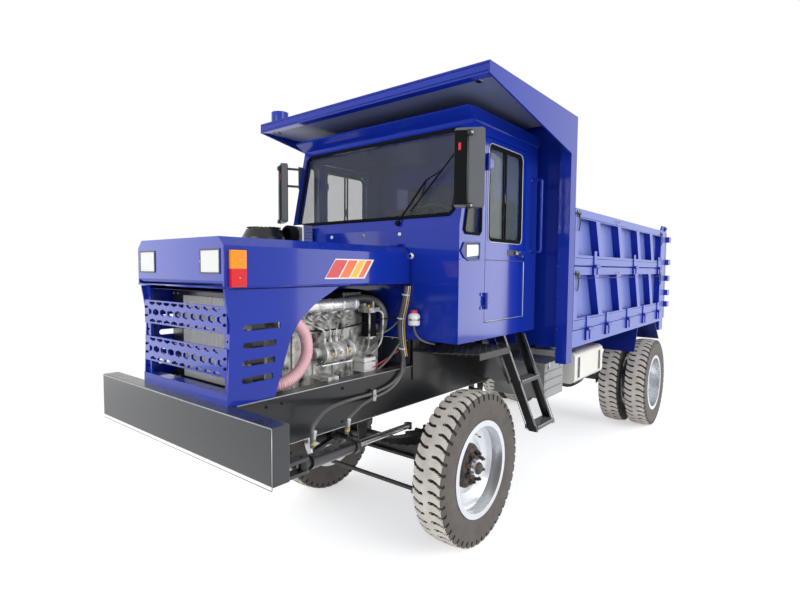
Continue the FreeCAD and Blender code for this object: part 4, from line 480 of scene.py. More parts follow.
# The black hoses are coloured mid grey: painted sheen for the highlights along them.
SHEEN_GREY_HOSE_RUBBER = Rubber("black_hose_rubber", "#5b5b58", roughness=0.36, dust="#6a6864", dust_share=0.35)
PINK_HOSE = Rubber("ribbed_pink_hose", "#e3aeb4", roughness=0.4, dust="#f0c9cb", dust_share=0.5)
CHROME = BareMetal("hard_chrome", "#d8d9dc", roughness=0.12, metallic=1.0, smear=0.1)
ZINC = BareMetal("zinc_plated_steel", "#b4b6b8", roughness=0.28, metallic=1.0)
BRASS = BareMetal("brass_fitting", "#c4a861", roughness=0.3, metallic=1.0)
# The fins' near-white is partly their bright metal and partly painted light, for the light that falls on the
# radiator core.
FIN_ALUMINIUM = BareMetal("radiator_fins", "#f3f2ee", roughness=0.4, metallic=0.15)
# Bright bare steel: real wear on edges, and painted highlight on the rails' front flange edges.
WORN_EDGE_AND_HIGHLIGHT = BareMetal("worn_bare_edge", "#a9aaab", roughness=0.35, metallic=0.7)
GREY_MOULDING = Moulding("dark_grey_abs", "#34373b", roughness=0.4, grain=0.05)
MIRROR_SHELL = Moulding("mirror_shell_abs", "#5b5e61", roughness=0.35, grain=0.05)
BLACK_VINYL = Moulding("black_vinyl", "#1b1b1d", roughness=0.6, grain_mm=2.0, grain=0.05)
BLACK_GASKET = Moulding("black_gasket_rubber", "#161718", roughness=0.8, gloss=0.08)
SCREEN_GLASS = Pane("tinted_float_glass", "#5a6061", roughness=0.01, clear=0.76)
WINDOW_GLASS = Pane("clear_float_glass", "#8d9a98", roughness=0.01, clear=0.82)
AMBER_LENS = Moulding("amber_lens", "#ff9a14", roughness=0.2, grain_mm=6.0)
RED_LENS = Moulding("red_lens", "#e01c22", roughness=0.2, grain_mm=6.0)
WHITE_LENS = Moulding("clear_lamp_lens", "#f1f1ec", roughness=0.12, grain_mm=9.0)
WHITE_PLASTIC = Moulding("white_polythene", "#ededea", roughness=0.35)
RED_PLASTIC = Moulding("red_cap_plastic", "#d8483f", roughness=0.35)
SILVER_FRAME = BareMetal("anodised_window_frame", "#c3c8cc", roughness=0.3, metallic=0.7)
YELLOW_FILM = Moulding("yellow_decal_film", "#f4b81d", roughness=0.25, grain_mm=12.0)
ORANGE_FILM = Moulding("orange_decal_film", "#ea6a25", roughness=0.25, grain_mm=12.0)
RED_FILM = Moulding("red_decal_film", "#d2323a", roughness=0.25, grain_mm=12.0)
WHITE_FILM = Moulding("white_decal_film", "#eeeeea", roughness=0.25, grain_mm=12.0)


# ---------------------------------------------------------------- mesh drafting
def add_object(name: str, data: bpy.types.ID) -> bpy.types.Object:
    """Puts data into the scene as a new object."""
    made = bpy.data.objects.new(name, data)
    bpy.context.scene.collection.objects.link(made)
    return made


def soften(piece: bpy.types.Object, width: float, sharper: float) -> None:
    """Rounds a piece's sharp edges by a small bevel.

    Args:
        piece: the piece.
        width: the bevel's width, in metres.
        sharper: the angle in degrees from which an edge counts as sharp.
    """
    modifier = piece.modifiers.new("softened edges", "BEVEL")
    modifier.width = width
    modifier.segments = 2
    modifier.limit_method = "ANGLE"
    modifier.angle_limit = math.radians(sharper)


@dataclass
class Draft:
    """Gathers shapes into one mesh, each with its own finish."""

    name: str
    mesh: bmesh.types.BMesh = field(default_factory=bmesh.new)
    finishes: list[Finish] = field(default_factory=list)

    def slot(self, finish: Finish) -> int:
        """The number of a finish in this mesh, added when it is new."""
        if finish not in self.finishes:
            self.finishes.append(finish)
        return self.finishes.index(finish)

    def loft(self, rings: Sequence[Sequence[Vector]], finish: Finish, capped: bool = True,
             smooth: bool = False) -> None:
        """Skins a row of rings that all have the same number of points.

        Args:
            rings: closed rings of points.
            finish: the finish of the skin.
            capped: closes the first and the last ring with a flat face.
            smooth: shades the skin round.
        """
        number = self.slot(finish)
        rows = [[self.mesh.verts.new(point) for point in ring] for ring in rings]
        faces = []
        for first, second in zip(rows, rows[1:]):
            count = len(first)
            for index in range(count):
                following = (index + 1) % count
                faces.append((first[index], first[following], second[following], second[index]))
        if capped:
            faces += [tuple(reversed(rows[0])), tuple(rows[-1])]
        for corners in faces:
            face = self.mesh.faces.new(corners)
            face.material_index = number
            face.smooth = smooth and len(corners) == 4

    def prism(self, outline: Sequence[Vector], run: Vector, finish: Finish) -> None:
        """Pushes a flat outline along a vector."""
        self.loft([list(outline), [point + run for point in outline]], finish)

    def box(self, low: Vector, high: Vector, finish: Finish, chamfer: float = 0.0) -> None:
        """A box whose upright edges are chamfered along Z.

        Args:
            low: its lowest corner.
            high: its highest corner.
            finish: its finish.
            chamfer: cut at the four upright edges, in metres.
        """
        c = chamfer
        plan = [(low.x + c, low.y), (high.x - c, low.y), (high.x, low.y + c), (high.x, high.y - c),
                (high.x - c, high.y), (low.x + c, high.y), (low.x, high.y - c), (low.x, low.y + c)]
        if not c:
            plan = [(low.x, low.y), (high.x, low.y), (high.x, high.y), (low.x, high.y)]
        self.prism([Vector((x, y, low.z)) for x, y in plan], UP * (high.z - low.z), finish)

    def block(self, x: Span, y: Span, z: Span, finish: Finish, chamfer: float = 0.0) -> None:
        """A box from its spans in millimetres, where X may run either way."""
        self.box(at(min(x), y[0], z[0]), at(max(x), y[1], z[1]), finish, chamfer)

    def turned(self, start: Vector, axis: Vector, profile: Sequence[Span], finish: Finish,
               sides: int = 32, smooth: bool = True, capped: bool = True) -> None:
        """Turns a profile about an axis.

        Args:
            start: the point that the profile's lengths are counted from.
            axis: the axis of the lathe.
            profile: pairs of (length along the axis, radius) in metres.
            finish: its finish.
            sides: facets round the axis.
            smooth: shades it round.
            capped: closes both ends.
        """
        along = axis.normalized()
        across = along.orthogonal().normalized()
        other = along.cross(across)
        rings = [[start + along * length + (across * c + other * s) * radius for c, s in circle(sides)]
                 for length, radius in profile]
        self.loft(rings, finish, smooth=smooth, capped=capped)

    def rod(self, start: Vector, end: Vector, radius: float, finish: Finish, sides: int = 20) -> None:
        """A round bar with small chamfers on its ends."""
        run = (end - start).length
        chamfer = min(radius * 0.15, run * 0.2)
        self.turned(start, end - start, [(0, radius - chamfer), (chamfer, radius), (run - chamfer, radius),
                                         (run, radius - chamfer)], finish, sides)

    def nut(self, seat: Vector, axis: Vector, profile: Sequence[Span], finish: Finish) -> None:
        """A six-sided nut or plug, from its profile along an axis."""
        self.turned(seat, axis, profile, finish, 6, smooth=False)

    def bolt(self, seat: Vector, axis: Vector, size: float, finish: Finish) -> None:
        """A hexagon head on a washer, with the end of its thread showing.

        Args:
            seat: the middle of the washer's seat.
            axis: the way the head faces.
            size: half of the head's width over its corners, in metres.
            finish: its finish.
        """
        out = axis.normalized()
        self.turned(seat, axis, [(0, size * 1.25), (size * 0.18, size * 1.25)], finish, 18)
        self.nut(seat + out * size * 0.18, axis, [(0, size), (size * 0.75, size), (size * 0.9, size * 0.86)],
                 finish)
        self.turned(seat + out * size, axis,
                    [(0, size * 0.5), (size * 0.35, size * 0.5), (size * 0.45, size * 0.4)], finish, 10)

    def path(self, points: Sequence[Vector], radius: float, finish: Finish, sides: int = 12,
             rounds: int = 0, swell: Callable[[float], float] | None = None) -> None:
        """Sweeps a round section along points, after rounding the path if asked.

        Args:
            points: the path.
            radius: the section's radius in metres.
            finish: its finish.
            sides: facets round the section.
            rounds: how many times the path's corners are cut.
            swell: the radius as a share, from the length along the path in metres.
        """
        line = rounded(points, rounds)
        rings = []
        walked = 0.0
        across = (line[1] - line[0]).orthogonal().normalized()
        for index, point in enumerate(line):
            ahead = line[min(index + 1, len(line) - 1)]
            behind = line[max(index - 1, 0)]
            along = (ahead - behind).normalized()
            across = (across - along * across.dot(along)).normalized()
            other = along.cross(across)
            if index:
                walked += (point - line[index - 1]).length
            share = swell(walked) if swell else 1.0
            rings.append([point + (across * c + other * s) * radius * share for c, s in circle(sides)])
        self.loft(rings, finish, smooth=True)

    def bead(self, start: Vector, end: Vector, radius: float, finish: Finish, sides: int = 8) -> None:
        """A straight thin bead, such as a weld, a seam or a worn edge."""
        self.path([start, start.lerp(end, 0.5), end], radius, finish, sides)

    def mirror(self) -> None:
        """Copies all that was drafted so far to the other side of the truck."""
        made = bmesh.ops.duplicate(self.mesh, geom=self.mesh.verts[:] + self.mesh.edges[:] + self.mesh.faces[:])
        moved = [item for item in made["geom"] if isinstance(item, bmesh.types.BMVert)]
        bmesh.ops.scale(self.mesh, vec=(-1, 1, 1), verts=moved)
        faces = [item for item in made["geom"] if isinstance(item, bmesh.types.BMFace)]
        bmesh.ops.reverse_faces(self.mesh, faces=faces)

    def place(self, body: str, slot: str, bevel: float = 0.0, replaced: Iterable[str] = ()) -> None:
        """Turns the draft into a piece that rides on a body.

        Args:
            body: the CAD body that carries it.
            slot: the record's material slot; not used.
            bevel: width of the bevel on sharp edges, in metres.
            replaced: CAD nodes that it stands for.
        """
        bmesh.ops.recalc_face_normals(self.mesh, faces=self.mesh.faces[:])
        data = bpy.data.meshes.new(self.name)
        self.mesh.to_mesh(data)
        self.mesh.free()
        for finish in self.finishes:
            data.materials.append(finish.build())
        piece = add_object(self.name, data)
        if bevel:
            soften(piece, bevel, 40)
        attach(piece, body)
        if replaced:
            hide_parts(*replaced)
        LOG.info("%s rides on %s", self.name, body)


# ---------------------------------------------------------------- the stage
@dataclass
class Studio:
    """A pale floor, soft lamps and the camera."""

    lens_mm: float = 23.10
    yaw: float = 39.654
    pitch: float = -3.349
    roll: float = 0.385
    shift: tuple[float, float] = (0.01475, -0.0008)
    stand_mm: Place = (2336, -2836, 1748)
    floor_half: float = 40.0
    floor_z: float = -0.002
    floor_grey: float = 0.86
    haze: float = 0.5

    def build(self) -> None:
        """Sets up the world, the floor, the lamps and the camera."""
        self.world()
        self.floor()
        for name, place, aim, size, power in (
                ("key_softbox", (8.5, -1.0, 5.5), (0.5, 0.6, 1.2), 6.0, 300.0),
                ("front_softbox", (-0.5, -8.5, 2.8), (0.0, -1.5, 1.2), 4.0, 150.0),
                ("front_card", (-6.5, -5.5, 1.6), (0.0, -1.6, 1.2), 5.0, 110.0),
                ("rear_card", (7.0, 6.5, 2.4), (0.9, 1.2, 1.5), 5.0, 190.0),
                ("rear_softbox", (-6.0, 6.5, 6.0), (0.0, 1.0, 1.2), 6.0, 90.0)):
            self.lamp(name, Vector(place), Vector(aim), size, power)
        self.camera()
        bpy.context.scene.view_settings.view_transform = "Standard"

    def world(self) -> None:
        """A soft grey surround that the camera, gloss and glass see as white."""
        world = bpy.data.worlds.new("studio")
        bpy.context.scene.world = world
        tree = fresh_tree(world)
        seen = self.seen(tree)
        soft = add_node(tree, "ShaderNodeBackground", {"Color": (0.86, 0.89, 0.95, 1.0), "Strength": 0.8})
        white = add_node(tree, "ShaderNodeBackground", {"Color": (1, 1, 1, 1), "Strength": 1.0})
        mixed = add_node(tree, "ShaderNodeMixShader",
                         {0: seen, 1: soft.outputs[0], 2: white.outputs[0]})
        add_node(tree, "ShaderNodeOutputWorld", {"Surface": mixed.outputs[0]})

    def seen(self, tree: bpy.types.NodeTree) -> Socket:
        """One for the rays that show the backdrop: the camera's, gloss and clear glass.

        Args:
            tree: the node tree that asks.

        Returns:
            The socket that holds one for such a ray and zero for the rest.
        """
        rays = add_node(tree, "ShaderNodeLightPath")
        first = add_node(tree, "ShaderNodeMath", {0: rays.outputs["Is Camera Ray"],
                                                  1: rays.outputs["Is Transmission Ray"]}, operation="MAXIMUM")
        return add_node(tree, "ShaderNodeMath", {0: first.outputs[0], 1: rays.outputs["Is Glossy Ray"]},
                        operation="MAXIMUM").outputs[0]

    def floor(self) -> None:
        """A wide pale floor that keeps the truck's shadow and fades into the white backdrop."""
        half = self.floor_half
        data = bpy.data.meshes.new("studio_floor")
        corners = ((-half, -half), (half, -half), (half, half), (-half, half))
        data.from_pydata([(x, y, self.floor_z) for x, y in corners], [], [(0, 1, 2, 3)])
        floor = add_object("studio_floor", data)
        material = bpy.data.materials.new("pale_floor")
        tree = fresh_tree(material)
        base = add_node(tree, "ShaderNodeBsdfDiffuse", {"Color": (self.floor_grey,) * 3 + (1.0,)})
        place = add_node(tree, "ShaderNodeTexCoord").outputs["Object"]
        away = add_node(tree, "ShaderNodeVectorMath", {0: place}, operation="LENGTH").outputs["Value"]
        fade = add_node(tree, "ShaderNodeMapRange", {"Value": away, "From Min": 2.2, "From Max": 5.0})
        seen = self.seen(tree)
        share = add_node(tree, "ShaderNodeMath", {0: fade.outputs[0], 1: seen}, operation="MULTIPLY")
        lift = add_node(tree, "ShaderNodeMath", {0: seen, 1: self.haze}, operation="MULTIPLY")
        haze = add_node(tree, "ShaderNodeEmission", {"Color": (1, 1, 1, 1), "Strength": lift.outputs[0]})
        lifted = add_node(tree, "ShaderNodeAddShader", {0: base.outputs[0], 1: haze.outputs[0]})
        white = add_node(tree, "ShaderNodeEmission", {"Color": (1, 1, 1, 1), "Strength": 1.0})
        mixed = add_node(tree, "ShaderNodeMixShader", {0: share.outputs[0], 1: lifted.outputs[0],
                                                       2: white.outputs[0]})
        add_node(tree, "ShaderNodeOutputMaterial", {"Surface": mixed.outputs[0]})
        data.materials.append(material)

    def lamp(self, name: str, place: Vector, aim: Vector, size: float, power: float) -> None:
        """Adds one square area lamp.

        Args:
            name: its name.
            place: where it hangs.
            aim: the point that it lights.
            size: its side in metres.
            power: its power in watts.
        """
        data = bpy.data.lights.new(name, "AREA")
        data.size = size
        data.energy = power
        lamp = add_object(name, data)
        lamp.location = place
        lamp.rotation_mode = "QUATERNION"
        lamp.rotation_quaternion = (aim - place).to_track_quat("-Z", "Y")

    def camera(self) -> None:
        """Stands the camera ahead of the truck's left front corner."""
        data = bpy.data.cameras.new("camera")
        data.sensor_width = 36.0
        data.lens = self.lens_mm
        data.shift_x, data.shift_y = self.shift
        yaw, pitch, roll = (math.radians(value) for value in (self.yaw, self.pitch, self.roll))
        forward = Vector((-math.sin(yaw) * math.cos(pitch), math.cos(yaw) * math.cos(pitch), math.sin(pitch)))
        right = Vector((math.cos(yaw), math.sin(yaw), 0))
        up = right.cross(forward)
        rolled_right = right * math.cos(roll) + up * math.sin(roll)
        rolled_up = up * math.cos(roll) - right * math.sin(roll)
        turned = Matrix((rolled_right, rolled_up, -forward)).transposed().to_4x4()
        camera = add_object("camera", data)
        camera.matrix_world = Matrix.Translation(at(*self.stand_mm)) @ turned
        bpy.context.scene.camera = camera


# ---------------------------------------------------------------- CAD pieces that stay
@dataclass
class CarriedNodes:
    """The CAD nodes whose shape is right, each with its finish and softened edges."""

    finishes: dict[Finish, str] = field(default_factory=lambda: {
        CHASSIS_ENAMEL: "chassis_frame spring_hangers cab_mounts tank_brackets steering_barrel hoist_barrel "
                        "radiator fenders air_cleaner",
        BUMPER_ENAMEL: "front_bumper",
        BLACK_FORGING: "front_axle rear_axle knuckle_left knuckle_right tie_rod driveline",
        CHROME: "steering_rod hoist_rod",
        SILVER_ENAMEL: "wheel_front_left wheel_front_right wheels_rear_left wheels_rear_right",
        BLUE_ENAMEL: "nose_shell grille_bars hood cab_shell cab_roof door_left door_right bed_front tailgate",
        SIDE_LIT_BLUE_ENAMEL: "bed_frame gate_lower_left gate_lower_right gate_upper_left gate_upper_right",
        SHADED_BLUE_ENAMEL: "rear_mudguards",
        ENGINE_CASTING: "engine",
        WHITE_LENS: "hood_lamps",
        SCREEN_GLASS: "cab_glass",
        WINDOW_GLASS: "door_glass_left door_glass_right",
        BLACK_VINYL: "seats",
        GREY_MOULDING: "dashboard",
        MIRROR_SHELL: "mirrors",
        WORN_BLACK_ENAMEL: "ladders",
        GREY_ENAMEL: "side_boxes",
        CREAM_ENAMEL: "side_tanks",
        HOT_PIPE: "exhaust",
        SHEEN_GREY_HOSE_RUBBER: "hoses",
    })
    edge: float = 0.0022

    def build(self) -> None:
        """Gives each carried node its finish and softens its sheet-metal edges, but not the glass."""
        for finish, names in self.finishes.items():
            for name in names.split():
                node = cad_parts[name]
                node.data.materials.clear()
                node.data.materials.append(finish.build())
                for face in node.data.polygons:
                    face.material_index = 0
                if not isinstance(finish, Pane):
                    soften(node, self.edge, 35)
                LOG.info("%s keeps its solid, dressed as %s", name, finish.name)


# ---------------------------------------------------------------- tyres
@dataclass
class LugTyre:
    """A worn cross-ply tyre: a plain middle and curved slant grooves that run out over both shoulders."""

    radius: float = 0.487
    tread_half: float = 0.095
    groove: float = 0.015
    pitches: int = 46
    steps: int = 18
    inner_end: float = 0.20
    groove_share: float = 0.24
    lean: float = 0.5
    curl: float = 2.6
    hook: float = 0.12

    def depth(self, turn: float, x: float) -> float:
        """How much of the full groove depth is cut at a place on the tread.

        Args:
            turn: place round the tyre, counted in pitches.
            x: place across the tread, from -1 to 1.

        Returns:
            Zero on a lug and one in a groove.
        """
        share = abs(x)
        side = 1.0 if x > 0 else -1.0
        hook = self.hook * max(0.0, (0.55 - share) / 0.35) ** 2
        phase = turn + side * (self.lean * share ** self.curl + hook) + (0.0 if x > 0 else 0.5)
        saw = abs(phase - math.floor(phase) - 0.5)
        if share < self.inner_end:
            return 0.0
        width = self.groove_share * min(1.0, 0.7 + 2.0 * (share - self.inner_end)) / 2
        return max(0.0, min(1.0, (width - saw) / 0.02 + 0.5))

    def profile(self) -> list[Place]:
        """The section from bead to bead as (x, radius, share of groove depth)."""
        bead, bulge = 0.285, 0.104
        wall = ((0.084, bead), (0.0845, bead + 0.012), (0.089, bead + 0.022), (0.0925, bead + 0.028),
                (0.0945, bead + 0.036), (0.098, bead + 0.055), (0.1025, 0.36), (bulge, 0.395),
                (0.1035, 0.418), (0.1025, 0.436), (0.1022, 0.438))
        shoulder = ((0.1022, 0.441), (0.1012, 0.455), (0.099, 0.467), (0.0965, 0.4745))
        half = [(x, radius, 0.0) for x, radius in wall] + [(x, radius, 0.55) for x, radius in shoulder]
        across, fall = 23, 0.009
        crown = []
        for index in range(across):
            x = self.tread_half * (1 - index / (across - 1) * 2)
            crown.append((x, self.radius - fall * (x / self.tread_half) ** 2, 1.0))
        left = [(-x, radius, share) for x, radius, share in reversed(half)]
        return half + crown + left

    def mesh(self) -> bpy.types.Mesh:
        """Builds the tyre about its own middle, with X as its axle."""
        name = "lug_tyre"
        made = bpy.data.meshes.get(name)
        if made:
            return made
        profile = self.profile()
        count = self.pitches * self.steps
        points: list[Place] = []
        cuts: list[list[float]] = []
        for step in range(count):
            turn = step / self.steps
            angle = math.tau * step / count
            row = []
            for x, radius, share in profile:
                cut = self.depth(turn, max(-1.0, min(1.0, x / self.tread_half))) if share else 0.0
                row.append(cut)
                reach = radius - self.groove * share * cut
                width = x * (1 - 0.055 * cut * (1.0 if 0 < share < 1 else 0.0))
                points.append((width, reach * math.sin(angle), reach * math.cos(angle)))
            cuts.append(row)
        wide = len(profile)
        faces = []
        slots = []
        for step in range(count):
            following = (step + 1) % count
            for index in range(wide):
                ahead = (index + 1) % wide
                faces.append((step * wide + index, step * wide + ahead, following * wide + ahead,
                              following * wide + index))
                share = min(profile[index][2], profile[ahead][2])
                cut = (cuts[step][index] + cuts[step][ahead] + cuts[following][index] + cuts[following][ahead]) / 4
                slots.append(1 if share and cut > 0.4 else 0 if share > 0.9 else 2)
        data = bpy.data.meshes.new(name)
        data.from_pydata(points, [], faces)
        # The tread faces take the pale rubber as painted light, the groove faces the dark rubber as painted shade.
        for finish in (TREAD_RUBBER_PAINTED_LIGHT, GROOVE_RUBBER_PAINTED_SHADE, WALL_RUBBER):
            data.materials.append(finish.build())
        for face, number in zip(data.polygons, slots):
            face.material_index = number
            face.use_smooth = number == 2
        return data

    def place(self, name: str, node: str, body: str, centres: Sequence[Vector]) -> None:
        """Puts tyres on a body in place of one CAD node.

        Args:
            name: start of the pieces' names.
            node: the CAD node that they stand for.
            body: the CAD body that carries them.
            centres: the middle of each tyre.
        """
        for number, centre in enumerate(centres):
            piece = add_object(f"{name}_{number + 1}", self.mesh())
            piece.location = centre
            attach(piece, body)
            if not number:
                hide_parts(node)
            LOG.info("%s rides on %s", piece.name, body)


@dataclass
class Wheels:
    """All six tyres, with the hubs' drums, studs and caps and the tyre valves."""

    tyre: LugTyre = field(default_factory=LugTyre)
    dual_spacing: float = 0.277
    front_face: float = 0.661
    rear_face: float = 0.776
    valve_circle: float = 0.215

    def build(self) -> None:
        """Dresses the four wheel bodies."""
        for side in Side:
            front = middle(f"tyre_front_{side.word}")
            body = f"front_{side.word}_wheel"
            self.tyre.place(f"front_tyre_{side.word}", f"tyre_front_{side.word}", body, [front])
            self.front_hub(side, body, Vector((side.value * self.front_face, front.y, front.z)))
            centre = middle(f"tyres_rear_{side.word}")
            half = side.out * (self.dual_spacing / 2)
            body = f"rear_{side.word}_wheels"
            self.tyre.place(f"rear_tyre_{side.word}", f"tyres_rear_{side.word}", body,
                            [centre + half, centre - half])
            self.rear_hub(side, body, Vector((side.value * self.rear_face, centre.y, centre.z)))

    def ring(self, draft: Draft, seat: Vector, axis: Vector, reach: float, count: int, size: float,
             finish: Finish) -> None:
        """Sets long wheel nuts in a ring.

        Args:
            draft: the mesh that gets them.
            seat: the ring's middle, on the face that the nuts sit on.
            axis: the way they face.
            reach: the ring's radius.
            count: how many there are.
            size: half of a nut's width over its corners.
            finish: their finish.
        """
        for c, s in circle(count, 0.5):
            spot = seat + Vector((0, s, c)) * reach
            draft.turned(spot, axis, [(0, size * 1.3), (0.003, size * 1.3)], finish, 18)
            draft.nut(spot + axis * 0.003, axis, [(0, size), (size * 1.2, size), (size * 1.4, size * 0.85)],
                      finish)
            draft.turned(spot + axis * (0.003 + size * 1.3), axis,
                         [(0, size * 0.55), (size * 0.8, size * 0.55), (size * 0.95, size * 0.4)], finish, 12)

    def valve(self, draft: Draft, seat: Vector, axis: Vector) -> None:
        """The brass tyre valve that pokes through the disc."""
        foot = seat + Vector((0, 0.5, 0.866)) * self.valve_circle - axis * 0.035
        tip = foot + axis * 0.06 + Vector((0, -0.01, -0.018))
        draft.path([foot, foot + axis * 0.03, tip], 0.004, BRASS, 10)
        draft.turned(tip, axis, [(0, 0.005), (0.012, 0.005), (0.014, 0.0035)], BLACK_GASKET, 10)

    def front_hub(self, side: Side, body: str, seat: Vector) -> None:
        """The drum that stands out of a front disc, with its nuts, grease cap and tyre valve.

        Args:
            side: the side that the hub faces.
            body: the wheel's CAD body.
            seat: the middle of the disc's outer face.
        """
        draft = Draft(f"front_hub_{side.word}")
        axis = side.out
        draft.turned(seat - axis * 0.002, axis,
                     [(0, 0.142), (0.008, 0.142), (0.011, 0.128), (0.036, 0.120), (0.043, 0.112), (0.043, 0.060)],
                     HUB_FORGING, 48)
        self.ring(draft, seat + axis * 0.041, axis, 0.090, 8, 0.016, HUB_FORGING)
        draft.turned(seat + axis * 0.042, axis, [(0, 0.072), (0.01, 0.072), (0.014, 0.067)], BLACK_FORGING, 36)
        draft.turned(seat + axis * 0.072, axis, [(0, 0.040), (0.016, 0.038), (0.024, 0.030), (0.027, 0.014)],
                     HUB_FORGING, 28)
        self.valve(draft, seat, axis)
        draft.place(body, "axle_iron")

    def rear_hub(self, side: Side, body: str, seat: Vector) -> None:
        """The flange nuts, the half-shaft's bolts, the end cap and the tyre valve of a rear hub.

        Args:
            side: the side that the hub faces.
            body: the wheel's CAD body.
            seat: the middle of the outer disc's outer face.
        """
        draft = Draft(f"rear_hub_{side.word}")
        axis = side.out
        self.ring(draft, seat, axis, 0.138, 10, 0.015, HUB_FORGING)
        self.ring(draft, seat + axis * 0.036, axis, 0.101, 8, 0.010, ZINC)
        self.ring(draft, seat + axis * 0.057, axis, 0.075, 6, 0.007, ZINC)
        draft.turned(seat + axis * 0.131, axis, [(0, 0.050), (0.005, 0.048), (0.009, 0.036)], BLACK_FORGING, 28)
        draft.nut(seat + axis * 0.139, axis, [(0, 0.014), (0.006, 0.014), (0.008, 0.011)], ZINC)
        self.valve(draft, seat, axis)
        draft.place(body, "axle_iron")


# ---------------------------------------------------------------- lamps and nose
@dataclass
class NoseTrim:
    """Headlamp faces, marker lenses, bonnet decals, grille screws and radiator fins."""

    flank: float = 396.0
    lip: float = 1664
    lamp: Place = (290, -1596, 1778)

    def build(self) -> None:
        """Dresses the bonnet's lamps, its flanks and the radiator."""
        self.headlamps()
        self.markers()
        self.decals()
        self.bonnet_lip()
        self.grille_screws()
        self.fins()

    def headlamps(self) -> None:
        """Two square lamps, each a thin dark rim round a finely fluted lens."""
        draft = Draft("headlamp_lenses")
        for sign in (-1, 1):
            x, y, z = self.lamp[0] * sign, *self.lamp[1:]
            draft.box(at(x - 73, y - 2, z - 48), at(x + 73, y + 6, z + 48), WHITE_LENS)
            for step in range(-14, 15):
                flute = x + step * 5.0
                draft.rod(at(flute, y - 2, z - 46), at(flute, y - 2, z + 46), 0.0016, WHITE_LENS, 6)
            for low, high in (((-80, -55), (80, -48)), ((-80, 48), (80, 55)), ((-80, -48), (-73, 48)),
                              ((73, -48), (80, 48))):
                draft.box(at(x + low[0], y - 4.0, z + low[1]), at(x + high[0], y + 6, z + high[1]), UNDERCOAT)
            for dx in (-76, 76):
                draft.bolt(at(x + dx, y - 4, z), AHEAD, 0.0028, ZINC)
        draft.place("bonnet", "lamp_lens", bevel=0.0008)

    def markers(self) -> None:
        """Amber over red lenses on each flank, each with a small bright domed screw."""
        draft = Draft("marker_lenses")
        for low, high, finish in ((1671, 1741, RED_LENS), (1752, 1822, AMBER_LENS)):
            draft.box(at(395, -1571, low - 5), at(418, -1494, high + 5), finish, 0.002)
            for step in range(7):
                z = low + (high - low) * (step + 0.5) / 7
                draft.rod(at(417.5, -1562, z), at(417.5, -1503, z), 0.0026, finish, 8)
            draft.turned(at(418, -1532, (low + high) / 2), OUT, [(0, 0.004), (0.0035, 0.0032)], ZINC, 12)
        draft.mirror()
        draft.place("bonnet", "lamp_lens", bevel=0.001)

    def slanted(self, draft: Draft, start: float, wide: float, low: float, high: float, proud: float,
                finish: Finish) -> None:
        """One slanted bar of film on the bonnet's left flank.

        Args:
            draft: the mesh that gets it.
            start: Y of its lower front corner.
            wide: its width along Y.
            low: its lower edge.
            high: its upper edge.
            proud: how far its face stands off the flank.
            finish: its film.
        """
        lean = (high - low) * 0.75
        outline = ((start, low), (start + wide, low), (start + wide + lean, high), (start + lean, high))
        draft.prism([at(self.flank - 1, y, z) for y, z in outline], Vector(((1 + proud) * MM, 0, 0)), finish)

    def decals(self) -> None:
        """A plain device of slanted bars in warm colours on a white ground, on each flank."""
        draft = Draft("bonnet_decals")
        low, high = 1702, 1796
        self.slanted(draft, -1010, 306, low - 6, high + 6, 0.5, WHITE_FILM)
        for start, wide, finish in ((-1002, 92, RED_FILM), (-900, 70, ORANGE_FILM), (-820, 52, YELLOW_FILM),
                                    (-758, 44, ORANGE_FILM)):
            self.slanted(draft, start, wide, low, high, 0.9, finish)
        draft.mirror()
        draft.place("bonnet", "blue_paint")

    def bonnet_lip(self) -> None:
        """The rolled lower and front edges of the bonnet, the black strips under it and a shaded blue strip under
        its front edge, painted shade in the joint with the nose.
        """
        draft = Draft("bonnet_lip")
        half = self.flank - 2
        draft.path(straight(half, (-300, -900, -1590), self.lip), 0.0055, BLUE_ENAMEL, 12)
        draft.path(straight(half, -1592, (self.lip, 1750, 1842)), 0.0035, BLUE_ENAMEL, 10)
        draft.box(at(300, -1540, 1655), at(half - 4, -300, 1659), BLACK_GASKET)
        draft.mirror()
        draft.path(straight((-half, 0, half), -1594, self.lip), 0.0055, BLUE_ENAMEL, 12)
        draft.place("bonnet", "blue_paint")
        strip = Draft("nose_joint_painted_shade")
        strip.box(at(-380, -1560, 1640), at(380, -1548, 1658), SHADED_BLUE_ENAMEL)
        strip.place("chassis", "blue_paint", bevel=0.002)

    def grille_screws(self) -> None:
        """Hexagon screws with washers at the ends of both perforated sheets and along the nose."""
        draft = Draft("grille_screws")
        for half, y, size, heights in ((363, -1574.3, 0.006, (1306, 1350, 1499, 1543)),
                                       (368, -1562, 0.0045, (1230, 1425, 1600))):
            for z in heights:
                for x in (-half, half):
                    draft.bolt(at(x, y, z), AHEAD, size, BLACK_GASKET)
        draft.place("chassis", "blue_paint")

    def fins(self) -> None:
        """The radiator core: upright tubes with close fins between them, near white partly from their own metal and
        partly as painted light, and its bolts.
        """
        draft = Draft("radiator_fins")
        low, high = 1172, 1604
        for x in range(-246, 247, 12):
            draft.box(at(x - 1.6, -1430, low), at(x + 1.6, -1422, high), FIN_ALUMINIUM)
        for step in range(86):
            z = low + 2 + step * 5
            draft.box(at(-249, -1427, z), at(249, -1420, z + 1.4), FIN_ALUMINIUM)
        for x in (-345, -300, 300, 345):
            for z in (1160, 1300, 1460, 1612):
                draft.bolt(at(x, -1430, z), AHEAD, 0.006, ZINC)
        draft.place("chassis", "core_metal")


